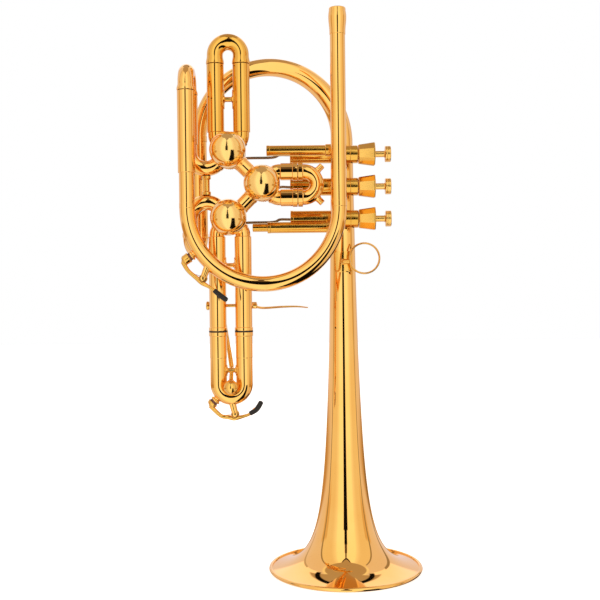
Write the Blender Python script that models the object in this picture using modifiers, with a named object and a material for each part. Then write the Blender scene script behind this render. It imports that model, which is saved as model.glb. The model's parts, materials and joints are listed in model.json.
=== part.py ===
"""A trumpet with three rotary valves worked by push buttons, standing on its bell rim.

Metres, +Z up.  -Y is the side of the ball-shaped valve caps and +X is the button side.
The origin is the middle of the bottom of the bounding box.
"""
from math import acos, cos, pi, radians, sin, sqrt

import bmesh
import bpy
from mathutils import Matrix, Vector

MM = 0.001
GAP = 0.0003
WALL = 0.0007
TUBE_SIDES = 12

# Planes and axes of the layout
BELL_X = 0.0334
BELL_Y = 0.0027
LEAD_X = 0.0282
LEFT_X = -0.0906
TAIL_X = -0.0846
FRONT_Y = -0.0593
PORT_Y = -0.0373
BARREL_Y = -0.0153

# Valves: three casings in a zigzag at 45 degrees
VALVE_PITCH = 0.0266
VALVE_X = -0.0589
VALVE_TOP_Z = 0.3493
VALVES = {
    1: Vector((VALVE_X, PORT_Y, VALVE_TOP_Z)),
    2: Vector((VALVE_X + VALVE_PITCH, PORT_Y, VALVE_TOP_Z - VALVE_PITCH)),
    3: Vector((VALVE_X, PORT_Y, VALVE_TOP_Z - 2 * VALVE_PITCH)),
}
PASSAGE_SIDES = {1: (90, 270), 2: (0, 180), 3: (90, 270)}
CASING_R = 0.0127
CASING_BORE_R = 0.01095
CASING_FRONT = 0.0092
CASING_BACK = -0.0120
ROTOR_R = 0.0106
SPINDLE_R = 0.0030
PORT_R = 0.0050
PASSAGE_R = 0.0041
PASSAGE_DEPTH = 1.2
BALL_R = 0.01445
BALL_WALL = 0.00125
BALL_CENTRE = 0.0160
BALL_BACK = 0.0095

# Rotor levers and buttons
LEVER_R = 0.0055
LEVER_REST = 315.0
BARREL_LEFT = -0.0102
BARREL_RIGHT = 0.0456
BARREL_R = 0.00735
CAP_RIGHT = 0.0599
DISC_LEFT = 0.0682
DISC_RIGHT = 0.0729
DISC_R = 0.0066
STEM_R = 0.0026
ROD_R = 0.0011
ROD_EYE = Vector((0.0027, 0.0012, 0.0034))
ROD_SLOT = Vector((0.0014, 0.01, 0.0022))

# Tubes and slides
TUBE_R = 0.0061
OUTER_LEG_R = 0.00685
LEG_BORE_R = 0.0061
INNER_LEG_R = 0.0056
CROOK_BORE_R = 0.0049
SLIDE_HALF_GAP = 0.0104
KNUCKLE_BEND = 0.008
SQUARE_END = 0.0006

# Post between the two elbows
POST_R = 0.0028
POST_COLLAR_R = 0.0037
POST_COLLAR = 0.0026

# Bell: radius = BELL_SCALE / (height + BELL_OFFSET) ** BELL_POWER, in metres
BELL_POWER = 0.455
BELL_OFFSET = 0.003
BELL_SCALE = 0.1355 * MM ** BELL_POWER
BELL_TOP = 0.3636
BELL_WALL = 0.0011
RIM_R = 0.0650
BEAD_R = 0.0018
BOW_R = (BELL_X - TAIL_X) / 2
TAIL_R = 0.0058
RETURN_Z = 0.2834

GOLD = ((0.86, 0.58, 0.20), 0.14, 1.0)
DARK_GOLD = ((0.72, 0.45, 0.14), 0.20, 1.0)
SILVER = ((0.80, 0.78, 0.72), 0.18, 1.0)
CORK = ((0.33, 0.17, 0.13), 0.85, 0.0)


def clear_scene():
    for item in list(bpy.data.objects):
        bpy.data.objects.remove(item, do_unlink=True)
    for group in list(bpy.data.collections):
        bpy.data.collections.remove(group)


def make_collection(name):
    group = bpy.data.collections.new(name)
    bpy.context.scene.collection.children.link(group)
    return group


clear_scene()
PARTS = make_collection("trumpet")
CUTTERS = make_collection("cutters")


def new_material(name, look):
    colour, roughness, metallic = look
    material = bpy.data.materials.new(name)
    material.use_nodes = True
    shader = material.node_tree.nodes["Principled BSDF"]
    shader.inputs["Base Color"].default_value = (*colour, 1.0)
    shader.inputs["Roughness"].default_value = roughness
    shader.inputs["Metallic"].default_value = metallic
    return material


def as_part(item, look=GOLD):
    """Finish an object: its own material, and a place in the parts collection."""
    item.data.materials.clear()
    item.data.materials.append(new_material(item.name, look))
    PARTS.objects.link(item)
    return item


def as_cutter(item):
    """A hidden shape that another object's Boolean uses."""
    item.hide_render = True
    item.display_type = "WIRE"
    CUTTERS.objects.link(item)
    return item


def smooth(mesh):
    mesh.shade_smooth()
    mesh.set_sharp_from_angle(angle=radians(35))


def boolean(item, other, operation="DIFFERENCE"):
    modifier = item.modifiers.new(other.name, "BOOLEAN")
    modifier.operation = operation
    modifier.solver = "EXACT"
    modifier.object = other
    return item


def cut(item, *others):
    for other in others:
        boolean(item, other)
    return item


def join(item, *others):
    for other in others:
        boolean(item, other, "UNION")
    return item


def swept(name, points, radii, sides=TUBE_SIDES):
    """A solid swept along a line of points, with its own radius at each point."""
    if not isinstance(radii, (list, tuple)):
        radii = [radii] * len(points)
    curve = bpy.data.curves.new(name, "CURVE")
    curve.dimensions = "3D"
    curve.bevel_depth = MM
    curve.bevel_resolution = (sides - 4) // 2
    curve.use_fill_caps = True
    spline = curve.splines.new("POLY")
    spline.points.add(len(points) - 1)
    for knot, point, radius in zip(spline.points, points, radii):
        knot.co = (*point, 1.0)
        knot.radius = radius / MM
    guide = bpy.data.objects.new(name + "_guide", curve)
    bpy.context.scene.collection.objects.link(guide)
    bpy.context.view_layer.update()
    depsgraph = bpy.context.evaluated_depsgraph_get()
    mesh = bpy.data.meshes.new_from_object(guide.evaluated_get(depsgraph))
    shape = bmesh.new()
    shape.from_mesh(mesh)
    bmesh.ops.remove_doubles(shape, verts=shape.verts, dist=1e-6)
    bmesh.ops.recalc_face_normals(shape, faces=shape.faces)
    shape.to_mesh(mesh)
    shape.free()
    item = bpy.data.objects.new(name, mesh)
    item.matrix_world = guide.matrix_world
    bpy.data.objects.remove(guide)
    bpy.data.curves.remove(curve)
    smooth(item.data)
    return item


def turned(name, profile, axis="Z", at=(0, 0, 0), steps=16, closed=True):
    """A turned solid: profile is (radius, height) pairs, top to bottom on the outer side."""
    mesh = bpy.data.meshes.new(name)
    points = [(radius, 0.0, height) for radius, height in profile]
    edges = [(index, index + 1) for index in range(len(points) - 1)]
    if closed:
        edges.append((len(points) - 1, 0))
    mesh.from_pydata(points, edges, [])
    item = bpy.data.objects.new(name, mesh)
    screw = item.modifiers.new("turn", "SCREW")
    screw.axis = "Z"
    screw.steps = steps
    screw.render_steps = steps
    screw.use_merge_vertices = True
    screw.merge_threshold = 1e-6
    screw.use_smooth_shade = True
    item.location = at
    item.rotation_euler = {"X": (0, pi / 2, 0), "-Y": (pi / 2, 0, 0), "Z": (0, 0, 0)}[axis]
    return item


def disc(name, radius, low, high, axis="Z", at=(0, 0, 0), steps=16):
    """A plain round solid between two heights along its axis."""
    profile = [(0, high), (radius, high), (radius, low), (0, low)]
    return turned(name, profile, axis, at, steps, closed=False)


def ring(name, outer, inner, low, high, axis="Z", at=(0, 0, 0), steps=16):
    profile = [(outer, high), (outer, low), (inner, low), (inner, high)]
    return turned(name, profile, axis, at, steps)


def block(name, low, high, bevel=0.0):
    """A box between two corners, with optional rounded edges."""
    mesh = bpy.data.meshes.new(name)
    shape = bmesh.new()
    size = Vector(high) - Vector(low)
    bmesh.ops.create_cube(shape, size=1.0, matrix=Matrix.Diagonal((*size, 1.0)))
    shape.to_mesh(mesh)
    shape.free()
    item = bpy.data.objects.new(name, mesh)
    item.location = (Vector(high) + Vector(low)) / 2
    if bevel:
        edge = item.modifiers.new("edges", "BEVEL")
        edge.width = bevel
        edge.segments = 2
    return item


def arc(centre, radius, start, end, steps, side=(1, 0, 0), up=(0, 0, 1)):
    """Points on an arc, angles in degrees from side towards up."""
    angles = [radians(start + (end - start) * index / steps) for index in range(steps + 1)]
    return [Vector(centre) + radius * (cos(a) * Vector(side) + sin(a) * Vector(up)) for a in angles]


def with_square_ends(points, way=(0, 0, 1)):
    """Adds a short straight at both ends, so that each end face is square to the joint."""
    return [points[0] + Vector(way) * SQUARE_END, *points, points[-1] + Vector(way) * SQUARE_END]


def bored(name, outer, bore, look=GOLD):
    """A part that is one swept solid with a swept bore through it."""
    body = swept(name, *outer)
    cutter = as_cutter(swept(name + "_bore", *bore, 10))
    as_part(body, look)
    return cut(body, cutter)


def pipe(name, points, radii, look=GOLD, wall=WALL):
    """A hollow tube along points, open at both ends."""
    if not isinstance(radii, (list, tuple)):
        radii = [radii] * len(points)
    first = points[0] + (points[0] - points[1]).normalized() * MM
    last = points[-1] + (points[-1] - points[-2]).normalized() * MM
    bore_points = [first, *points, last]
    bore_radii = [radii[0] - wall, *[radius - wall for radius in radii], radii[-1] - wall]
    return bored(name, (points, radii), (bore_points, bore_radii), look)


def bell_radius(height):
    return BELL_SCALE / (height + BELL_OFFSET) ** BELL_POWER


def bell_outline(steps=10):
    """Outer wall from top to rim, round the bead, and back up inside."""
    low = (BELL_SCALE / (RIM_R - 1.9 * BEAD_R)) ** (1 / BELL_POWER) - BELL_OFFSET
    ratio = ((low + BELL_OFFSET) / (BELL_TOP + BELL_OFFSET)) ** (1 / steps)
    heights = [(BELL_TOP + BELL_OFFSET) * ratio ** index - BELL_OFFSET for index in range(steps + 1)]
    outer = [(bell_radius(height), height) for height in heights]
    inner = []
    for radius, height in outer:
        slope = BELL_POWER * radius / (height + BELL_OFFSET)
        length = sqrt(1 + slope * slope)
        inner.append((radius - BELL_WALL / length, height - BELL_WALL * slope / length))
    inner[0] = (outer[0][0] - BELL_WALL, BELL_TOP)
    bead = []
    for angle in (110, 70, 30, -10, -45, -70, -110, -150):
        across = RIM_R - BEAD_R + BEAD_R * cos(radians(angle))
        bead.append((across, max(0.0, BEAD_R + 1.07 * BEAD_R * sin(radians(angle)))))
    return outer + bead + inner[:0:-1] + [inner[0]]


def make_bell():
    bell = turned("bell", bell_outline(), at=(BELL_X, BELL_Y, 0), steps=28)
    return as_part(bell)


def make_bell_bow():
    middle = Vector(((BELL_X + TAIL_X) / 2, (BELL_Y + BARREL_Y) / 2, BELL_TOP + GAP + SQUARE_END))
    side = Vector((BOW_R, (BELL_Y - BARREL_Y) / 2, 0))
    points = with_square_ends(arc(middle, 1.0, 0, 180, 14, side, (0, 0, BOW_R)), (0, 0, -1))
    top_r = bell_radius(BELL_TOP)
    radii = [top_r + (TAIL_R - top_r) * (index / 14) ** 0.75 for index in range(15)]
    pipe("bell_bow", points, [radii[0], *radii, radii[-1]])
    low = Vector((TAIL_X, BARREL_Y, RETURN_Z + GAP))
    high = Vector((TAIL_X, BARREL_Y, BELL_TOP))
    pipe("bell_tail", [low, high], [TUBE_R, TAIL_R])


def make_return_bend():
    high = Vector((LEFT_X, PORT_Y, RETURN_Z))
    low = Vector((TAIL_X, BARREL_Y, RETURN_Z))
    side = (low - high) / 2
    middle = (high + low) / 2 - Vector((0, 0, SQUARE_END))
    points = with_square_ends(arc(middle, 1.0, 180, 360, 10, side, (0, 0, side.length)))
    pipe("return_bend", points, TUBE_R)


def hinge_post(name, base, pivot, reach=0.0031):
    """Two lugs from base to pivot with a pin along Y through them, to be joined to a tube."""
    lugs = []
    for side in (-1, 1):
        shift = Vector((0, side * reach, 0))
        inward = Vector((0, side * 0.8 * reach, 0))
        lugs.append(as_cutter(swept(f"{name}_lug_{side}", [base + inward, pivot + shift], 0.0013, 10)))
    pin = as_cutter(disc(name + "_pin", 0.0010, -reach - 0.0012, reach + 0.0012, "-Y", pivot, 12))
    return [*lugs, pin]


DRAIN_R = 0.0014

# Water keys: the points of each key and its mounting, as (x, z)
KEYS = {
    1: dict(y=FRONT_Y, hinge=(-0.0787, 0.2480), base=(-0.0745, 0.2590), seat=(-0.0866, 0.2666),
            cup=(-0.0930, 0.2622), bend=(-0.0895, 0.2533), under=(-0.0796, 0.2447),
            elbow=(-0.0716, 0.2398), tip=(-0.0608, 0.2310)),
    2: dict(y=PORT_Y, hinge=(-0.0563, 0.1385), base=(-0.0589, 0.1490), seat=(-0.0715, 0.1503),
            cup=(-0.0752, 0.1466), bend=(-0.0672, 0.1368), under=(-0.0567, 0.1351),
            elbow=(-0.0458, 0.1372), tip=(-0.0350, 0.1478)),
}


def key_point(number, name):
    spot = KEYS[number]
    return Vector((spot[name][0], spot["y"], spot[name][1]))


def nipple(number, centre):
    """A short stub standing on the bow, with its mouth towards the cork."""
    seat = key_point(number, "seat")
    away = (key_point(number, "cup") - seat).normalized()
    return as_cutter(swept(f"nipple_{number}", [centre, seat + away * 0.0005], 0.0028, 12)), away, seat


def make_main_bow():
    centre = Vector(((LEAD_X + LEFT_X) / 2, FRONT_Y, 0.3033 - SQUARE_END))
    radius = (LEAD_X - LEFT_X) / 2
    points = with_square_ends(arc(centre, radius, 0, -180, 16))
    points[-1].z = 0.3304
    bow = as_part(swept("main_bow", points, TUBE_R))
    bow_direction = (key_point(1, "seat") - centre).normalized()
    stub, away, seat = nipple(1, centre + bow_direction * radius)
    join(bow, stub, *hinge_post("key_post_1", key_point(1, "base"), key_point(1, "hinge")))
    first = points[0] + Vector((0, 0, MM))
    last = points[-1] + Vector((0, 0, MM))
    bore = as_cutter(swept("main_bow_bore", [first, *points, last], TUBE_R - WALL, 10))
    drain_ends = [centre + bow_direction * radius, seat + away * 0.002]
    drain = as_cutter(swept("drain_1", drain_ends, DRAIN_R, 10))
    return cut(bow, bore, drain)


def make_leadpipe():
    low = Vector((LEAD_X, FRONT_Y, 0.3036))
    high = Vector((LEAD_X, FRONT_Y, 0.4371))
    pipe("leadpipe", [low, high], TUBE_R - 0.1 * MM)
    profile = [(0.0064, 0.4576), (0.00655, 0.4572), (0.00655, 0.4545), (0.00705, 0.4525),
               (0.00705, 0.4480), (0.00625, 0.4400), (0.00625, 0.4374), (0.0050, 0.4374), (0.0054, 0.4576)]
    as_part(turned("mouthpiece_receiver", profile, at=(LEAD_X, FRONT_Y, 0)), DARK_GOLD)


def make_elbows():
    """Elbow from valve 1 up to the tuning slide, and from valve 3 down to the return bend."""
    radius = 0.0132
    middle_x = LEFT_X + radius
    drop = VALVE_X - middle_x - 2 * radius * sin(radians(45))
    upper = Vector((middle_x, PORT_Y, VALVES[1].z - drop))
    lower = Vector((middle_x, PORT_Y, VALVES[3].z + drop))
    inlet = arc(upper, radius, 315, 180, 8) + [Vector((LEFT_X, PORT_Y, 0.3552))]
    outlet = arc(lower, radius, 45, 180, 8) + [Vector((LEFT_X, PORT_Y, RETURN_Z + GAP))]
    for name, points, valve in (("inlet_elbow", inlet, 1), ("outlet_elbow", outlet, 3)):
        toward = (VALVES[valve] - points[0]).normalized() * 0.003
        elbow = pipe(name, [points[0] + toward, *points], TUBE_R)
        cut(elbow, casing_clearance(name, valve))
    post_low = lower.z + radius + TUBE_R + GAP
    post_high = upper.z - radius - TUBE_R - GAP
    neck_high = post_high - POST_COLLAR
    neck_low = post_low + POST_COLLAR
    profile = [(0, post_high), (POST_COLLAR_R, post_high), (POST_COLLAR_R, neck_high), (POST_R, neck_high),
               (POST_R, neck_low), (POST_COLLAR_R, neck_low), (POST_COLLAR_R, post_low), (0, post_low)]
    as_part(turned("elbow_post", profile, at=(middle_x, PORT_Y, 0), closed=False), DARK_GOLD)


def casing_clearance(name, valve):
    """A cylinder just larger than a casing, to trim the tubes that meet it."""
    return as_cutter(disc(f"{name}_trim_{valve}", CASING_R + GAP, -0.03, 0.03, "-Y", VALVES[valve], 26))


def make_valve_tube(name, start, end):
    tube = pipe(name, [VALVES[start].lerp(VALVES[end], 0.2), VALVES[start].lerp(VALVES[end], 0.8)], TUBE_R)
    return cut(tube, casing_clearance(name, start), casing_clearance(name, end))


def make_valve(number):
    centre = VALVES[number]
    profile = [(CASING_R, CASING_FRONT), (CASING_R, CASING_BACK), (SPINDLE_R + GAP, CASING_BACK),
               (SPINDLE_R + GAP, CASING_BACK + 0.0027), (CASING_BORE_R, CASING_BACK + 0.0027),
               (CASING_BORE_R, CASING_FRONT)]
    casing = as_part(turned(f"valve_{number}_casing", profile, "-Y", centre, 24), DARK_GOLD)
    for angle in (45, 135):
        reach = Vector((cos(radians(angle)), 0, sin(radians(angle)))) * 0.02
        drill = swept(f"ports_{number}_{angle}", [centre - reach, centre + reach], PORT_R, 10)
        cut(casing, as_cutter(drill))

    profile = [(0, 0.0108), (SPINDLE_R, 0.0108), (SPINDLE_R, 0.0086), (ROTOR_R, 0.0086), (ROTOR_R, -0.0089),
               (SPINDLE_R, -0.0089), (SPINDLE_R, -0.0194), (0, -0.0194)]
    rotor = as_part(turned(f"rotor_{number}", profile, "-Y", centre, 20, closed=False), SILVER)
    for side in PASSAGE_SIDES[number]:
        outward = Vector((cos(radians(side)), 0, sin(radians(side))))
        middle = centre + outward * ROTOR_R * sqrt(2)
        route = arc(middle, ROTOR_R, side + 125, side + 235, 6)
        passage = swept(f"passage_{number}_{side}", route, PASSAGE_R, 10)
        for vertex in passage.data.vertices:
            vertex.co.y = PORT_Y + PASSAGE_DEPTH * (vertex.co.y - PORT_Y)
        cut(rotor, as_cutter(passage))

    profile = ball_outline(BALL_R, 8) + ball_outline(BALL_R - BALL_WALL, 5)[::-1]
    as_part(turned(f"ball_cap_{number}", profile, "-Y", centre, 18, closed=False))
    make_rotor_lever(number)


def ball_outline(radius, steps):
    """A ball cap's outline from its front pole round to its open back."""
    end = acos((BALL_BACK - BALL_CENTRE) / radius)
    turns = [end * index / steps for index in range(steps + 1)]
    return [(radius * sin(turn), BALL_CENTRE + radius * cos(turn)) for turn in turns]


def make_rotor_lever(number):
    """A round cam plate on the spindle, with the pin that the link rod's eye rides on."""
    centre = VALVES[number]
    toward_pin = Vector((cos(radians(LEVER_REST)), 0, sin(radians(LEVER_REST))))
    plate = disc(f"rotor_lever_{number}", 0.0060, -0.0198, -0.0168, "-Y", centre + 0.0014 * toward_pin, 18)
    pin_at = centre + LEVER_R * toward_pin
    pin_ends = [pin_at + Vector((0, 0.0182, 0)), pin_at + Vector((0, 0.0242, 0))]
    pin = as_cutter(swept(f"lever_pin_{number}", pin_ends, 0.0010, 10))
    bore = as_cutter(disc(f"lever_bore_{number}", SPINDLE_R + GAP, -0.03, -0.01, "-Y", centre, 14))
    return cut(join(as_part(plate, SILVER), pin), bore)


def make_button(number):
    row = Vector((0, BARREL_Y, VALVES[number].z))
    profile = [(BARREL_R, BARREL_RIGHT), (BARREL_R, BARREL_LEFT), (0.0018, BARREL_LEFT),
               (0.0018, BARREL_LEFT + 0.0015), (0.0063, BARREL_LEFT + 0.0015), (0.0063, BARREL_RIGHT)]
    as_part(turned(f"button_barrel_{number}", profile, "X", row))

    cap_left = BARREL_RIGHT + GAP
    profile = [(0.0101, CAP_RIGHT), (0.0083, cap_left), (STEM_R + GAP, cap_left), (STEM_R + GAP, CAP_RIGHT)]
    cap = turned(f"octagon_cap_{number}", profile, "X", row, 8)
    cap.rotation_euler.x = radians(22.5)
    cap.rotation_mode = "ZYX"
    as_part(cap, DARK_GOLD)

    profile = [(0, DISC_RIGHT), (DISC_R - 0.0008, DISC_RIGHT), (DISC_R, DISC_RIGHT - 0.0009),
               (DISC_R, DISC_LEFT + 0.0008), (DISC_R - 0.0008, DISC_LEFT), (STEM_R, DISC_LEFT),
               (STEM_R, 0.0440), (0.0059, 0.0440), (0.0059, 0.0300), (0, 0.0300)]
    as_part(turned(f"button_{number}", profile, "X", row, closed=False), DARK_GOLD)
    make_link_rod(number)


def make_link_rod(number):
    """Rod from the plunger to an eye whose slot lets the lever pin swing."""
    row = Vector((0, BARREL_Y, VALVES[number].z))
    half = LEVER_R * cos(radians(45))
    eye = row + Vector((VALVES[number].x + half, 0, -(half + LEVER_R) / 2))
    route = [Vector((0.0297, 0, 0)), Vector((-0.0190, 0, 0))]
    if number != 2:
        route += [Vector((-0.0250, 0, -0.0020)), Vector((-0.0470, 0, -0.0024))]
    points = [row + spot for spot in route] + [eye + Vector((0.0020, 0, 0))]
    rod = as_part(swept(f"link_rod_{number}", points, ROD_R, 10), SILVER)
    frame = block(f"rod_eye_{number}", eye - ROD_EYE, eye + ROD_EYE)
    slot = block(f"rod_slot_{number}", eye - ROD_SLOT, eye + ROD_SLOT)
    return cut(join(rod, as_cutter(frame)), as_cutter(slot))


def slide_frame(base, out, side):
    """Turns (along, across) in a slide's plane into points."""
    def place(along, across):
        return Vector(base) + Vector(out) * along + Vector(side) * across
    return place


def make_crook(name, place, stations, turn_at, half_gap, look=GOLD, extras=()):
    """A U slide: stations are (along, radius) from the inner end, for each leg, then the turn."""
    one = [(place(along, -half_gap), radius) for along, radius in stations]
    two = [(place(along, half_gap), radius) for along, radius in reversed(stations)]
    crook_r = stations[-1][1]
    angles = [radians(180 - 180 * index / 10) for index in range(11)]
    turn = [(place(turn_at + half_gap * sin(a), half_gap * cos(a)), crook_r) for a in angles]
    knots = one + turn + two
    points = [knot[0] for knot in knots]
    body = as_part(swept(name, points, [knot[1] for knot in knots]), look)
    join(body, *extras)
    inner_end = stations[0][0]
    path = [place(inner_end - MM, -half_gap), *[knot[0] for knot in turn], place(inner_end - MM, half_gap)]
    return cut(body, as_cutter(swept(name + "_bore", path, CROOK_BORE_R, 8)))


def make_outer_leg(name, place, across, stations, valve=None, register=True):
    """A slide's outer leg: from the casing's port when valve is given, straight otherwise."""
    knots = []
    bore = []
    if valve:
        sign = 1 if across > 0 else -1
        half_gap = abs(across)
        start = 0.0065
        turn = KNUCKLE_BEND * (sqrt(2) - 1)
        centre = (half_gap + turn, (half_gap - KNUCKLE_BEND) * sign)
        knots.append((place(start, start * sign), TUBE_R))
        for index in range(4):
            angle = radians(45 - 45 * index / 3)
            along = centre[0] - KNUCKLE_BEND * sin(angle)
            aside = centre[1] + sign * KNUCKLE_BEND * cos(angle)
            knots.append((place(along, aside), TUBE_R))
        first = start - 0.002
        bore = [(place(first, first * sign), PORT_R), *[(spot, PORT_R) for spot, _ in knots]]
        seat = stations[0][0] + 0.0005
        bore.append((place(seat, across), PORT_R))
        bore.append((place(seat + 0.0004, across), LEG_BORE_R))
    else:
        bore.append((place(stations[0][0] - MM, across), LEG_BORE_R))
    knots += [(place(along, across), radius) for along, radius in stations]
    bore.append((place(stations[-1][0] + MM, across), LEG_BORE_R))
    body = swept(name, [k[0] for k in knots], [k[1] for k in knots])
    cutter = as_cutter(swept(name + "_bore", [k[0] for k in bore], [k[1] for k in bore], 10))
    cutters = [cutter]
    if valve:
        cutters.append(casing_clearance(name, valve))
    if register:
        as_part(body)
        cut(body, *cutters)
    return body, cutters


def make_leg_pair(name, place, half_gap, stations, valve, extras):
    """Both outer legs of a slide as one soldered piece with its brace."""
    left, left_cuts = make_outer_leg(name, place, -half_gap, stations, valve, register=False)
    right, right_cuts = make_outer_leg(name + "_mate", place, half_gap, stations, valve, register=False)
    as_part(left)
    join(left, *extras, as_cutter(right))
    return cut(left, *left_cuts, right_cuts[0])


def brace_parts(name, place, along, half_gap, bar_r, foot_half):
    """A bar between two legs with a long oval foot against each leg."""
    ends = [place(along, sign * (half_gap - 0.0030)) for sign in (-1, 1)]
    shapes = [as_cutter(swept(name + "_bar", ends, bar_r, 10))]
    for sign in (-1, 1):
        centre = place(along, sign * (half_gap - OUTER_LEG_R + 0.0006))
        foot = disc(f"{name}_foot_{sign}", 1.0, -0.0013, 0.0013, "X", centre, 14)
        foot.scale = (foot_half, 0.0029, 1.0)
        shapes.append(as_cutter(foot))
    return shapes


def leg_steps(start, end, ring_length=0.0):
    """Stations of an outer leg, with a raised ring at its mouth when it has a length."""
    steps = [(start, TUBE_R), (start + 0.0003, OUTER_LEG_R)]
    if ring_length:
        steps += [(end - ring_length, OUTER_LEG_R), (end - ring_length + 0.0002, OUTER_LEG_R + 0.0005)]
        return steps + [(end, OUTER_LEG_R + 0.0005)]
    return steps + [(end, OUTER_LEG_R)]


def make_tuning_slide():
    place = slide_frame((LEFT_X, (FRONT_Y + PORT_Y) / 2, 0), (0, 0, 1), (0, 1, 0))
    half_gap = (PORT_Y - FRONT_Y) / 2
    mouth = 0.39455
    for word, across, start in (("front", -half_gap, 0.3307), ("back", half_gap, 0.3555)):
        stations = [(start, OUTER_LEG_R), (mouth, OUTER_LEG_R)]
        make_outer_leg(f"tuning_outer_leg_{word}", place, across, stations)
    stations = [(0.3600, INNER_LEG_R), (mouth + GAP, INNER_LEG_R), (mouth + 0.0004, 0.0077),
                (0.3990, 0.0077), (0.3992, 0.00625)]
    return make_crook("tuning_crook", place, stations, 0.3994, half_gap)


def make_first_slide():
    place = slide_frame(VALVES[1], (0, 0, 1), (1, 0, 0))
    extras = brace_parts("first_brace", place, 0.0421, SLIDE_HALF_GAP, 0.0020, 0.0075)
    mouth = 0.0700
    make_leg_pair("first_slide_outer_legs", place, SLIDE_HALF_GAP, leg_steps(0.0156, mouth), 1, extras)
    stations = [(0.0200, INNER_LEG_R), (mouth + GAP, INNER_LEG_R), (mouth + 0.0004, 0.00725),
                (0.0752, 0.00725), (0.0754, 0.00645)]
    return make_crook("first_slide_crook", place, stations, 0.0776, SLIDE_HALF_GAP)


def make_second_slide():
    place = slide_frame(VALVES[2], (1, 0, 0), (0, 0, 1))
    mouth = 0.02815
    for word, across in (("lower", -SLIDE_HALF_GAP), ("upper", SLIDE_HALF_GAP)):
        make_outer_leg(f"second_slide_outer_leg_{word}", place, across, leg_steps(0.0145, mouth, 0.0040), 2)
    turn_at = 0.0331
    crook_r = 0.0059
    nubs = []
    for sign in (-1, 1):
        direction = Vector((cos(radians(45)), 0, sign * sin(radians(45))))
        centre = place(turn_at, 0)
        reach = SLIDE_HALF_GAP + crook_r
        ends = [centre + direction * (reach - 0.0021), centre + direction * (reach + 0.0052)]
        nubs.append(as_cutter(swept(f"nub_{sign}", ends, 0.0028, 14)))
    stations = [(0.0160, INNER_LEG_R), (mouth + GAP, INNER_LEG_R), (mouth + 0.0006, 0.0073),
                (0.0324, 0.0073), (0.0327, crook_r)]
    return make_crook("second_slide_crook", place, stations, turn_at, SLIDE_HALF_GAP, extras=nubs)


# Third-slide trigger, behind the legs
SHAFT_Y = PORT_Y + 0.0106
SHAFT_Z = 0.2258
CRANK_R = 0.0120
CRANK_SWING = 38.0
CRANK_X = -0.0650
CRANK_PIN = 0.0052
KNOB_R = 0.0059
TRIGGER_EYE = Vector((0.0011, 0.0036, 0.0026))
TRIGGER_SLOT = Vector((0.01, 0.0025, 0.0014))


def make_third_slide():
    place = slide_frame(VALVES[3], (0, 0, -1), (1, 0, 0))
    extras = brace_parts("third_brace", place, 0.0376, SLIDE_HALF_GAP, 0.0018, 0.0065)
    for sign in (-1, 1):
        at = (VALVE_X + sign * SLIDE_HALF_GAP, SHAFT_Y, SHAFT_Z)
        extras.append(as_cutter(disc(f"shaft_collar_{sign}", 0.0028, -0.0019, 0.0019, "X", at, 16)))
        foot_low = Vector(at) + Vector((-0.0015, -0.0070, -0.0026))
        foot_high = Vector(at) + Vector((0.0015, -0.0007, 0.0025))
        extras.append(as_cutter(block(f"collar_foot_{sign}", foot_low, foot_high)))
    mouth = 0.0909
    steps = leg_steps(0.0145, mouth, 0.0034)
    legs = make_leg_pair("third_slide_outer_legs", place, SLIDE_HALF_GAP, steps, 3, extras)
    cut(legs, as_cutter(disc("shaft_bore", 0.0016, -0.02, 0.02, "X", (VALVE_X, SHAFT_Y, SHAFT_Z), 14)))

    turn_at = 0.1332
    crook_r = 0.0067
    turn_centre = place(turn_at, 0)
    away = (key_point(2, "seat") - turn_centre).normalized()
    stub, outward, seat = nipple(2, turn_centre + away * SLIDE_HALF_GAP)
    post = hinge_post("key_post_2", key_point(2, "base"), key_point(2, "hinge"))
    ring_r = 0.00735
    stations = [(0.0400, INNER_LEG_R), (mouth + GAP, INNER_LEG_R), (mouth + 0.0006, ring_r),
                (0.0946, ring_r), (0.0949, OUTER_LEG_R), (0.1120, OUTER_LEG_R), (0.1122, crook_r)]
    crook = make_crook("third_slide_crook", place, stations, turn_at, SLIDE_HALF_GAP, extras=[stub, *post])
    drain_ends = [turn_centre + away * SLIDE_HALF_GAP, seat + outward * 0.002]
    cut(crook, as_cutter(swept("drain_2", drain_ends, DRAIN_R, 10)))

    ends = [place(0.1223, -0.0033), place(0.1223, 0.0033)]
    brace = as_part(swept("third_slide_lower_brace", ends, 0.0019, 12), DARK_GOLD)
    ball_at = place(0.1351, 0) + Vector((0, -0.0100, 0))
    turns = [pi * index / 10 for index in range(11)]
    half_circle = [(KNOB_R * sin(turn), KNOB_R * cos(turn)) for turn in turns]
    ball = as_cutter(turned("knob_ball", half_circle, "Z", ball_at, 16, closed=False))
    neck = as_cutter(swept("knob_neck", [ball_at, place(0.1228, 0)], 0.0016, 10))
    return join(brace, ball, neck)


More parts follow.
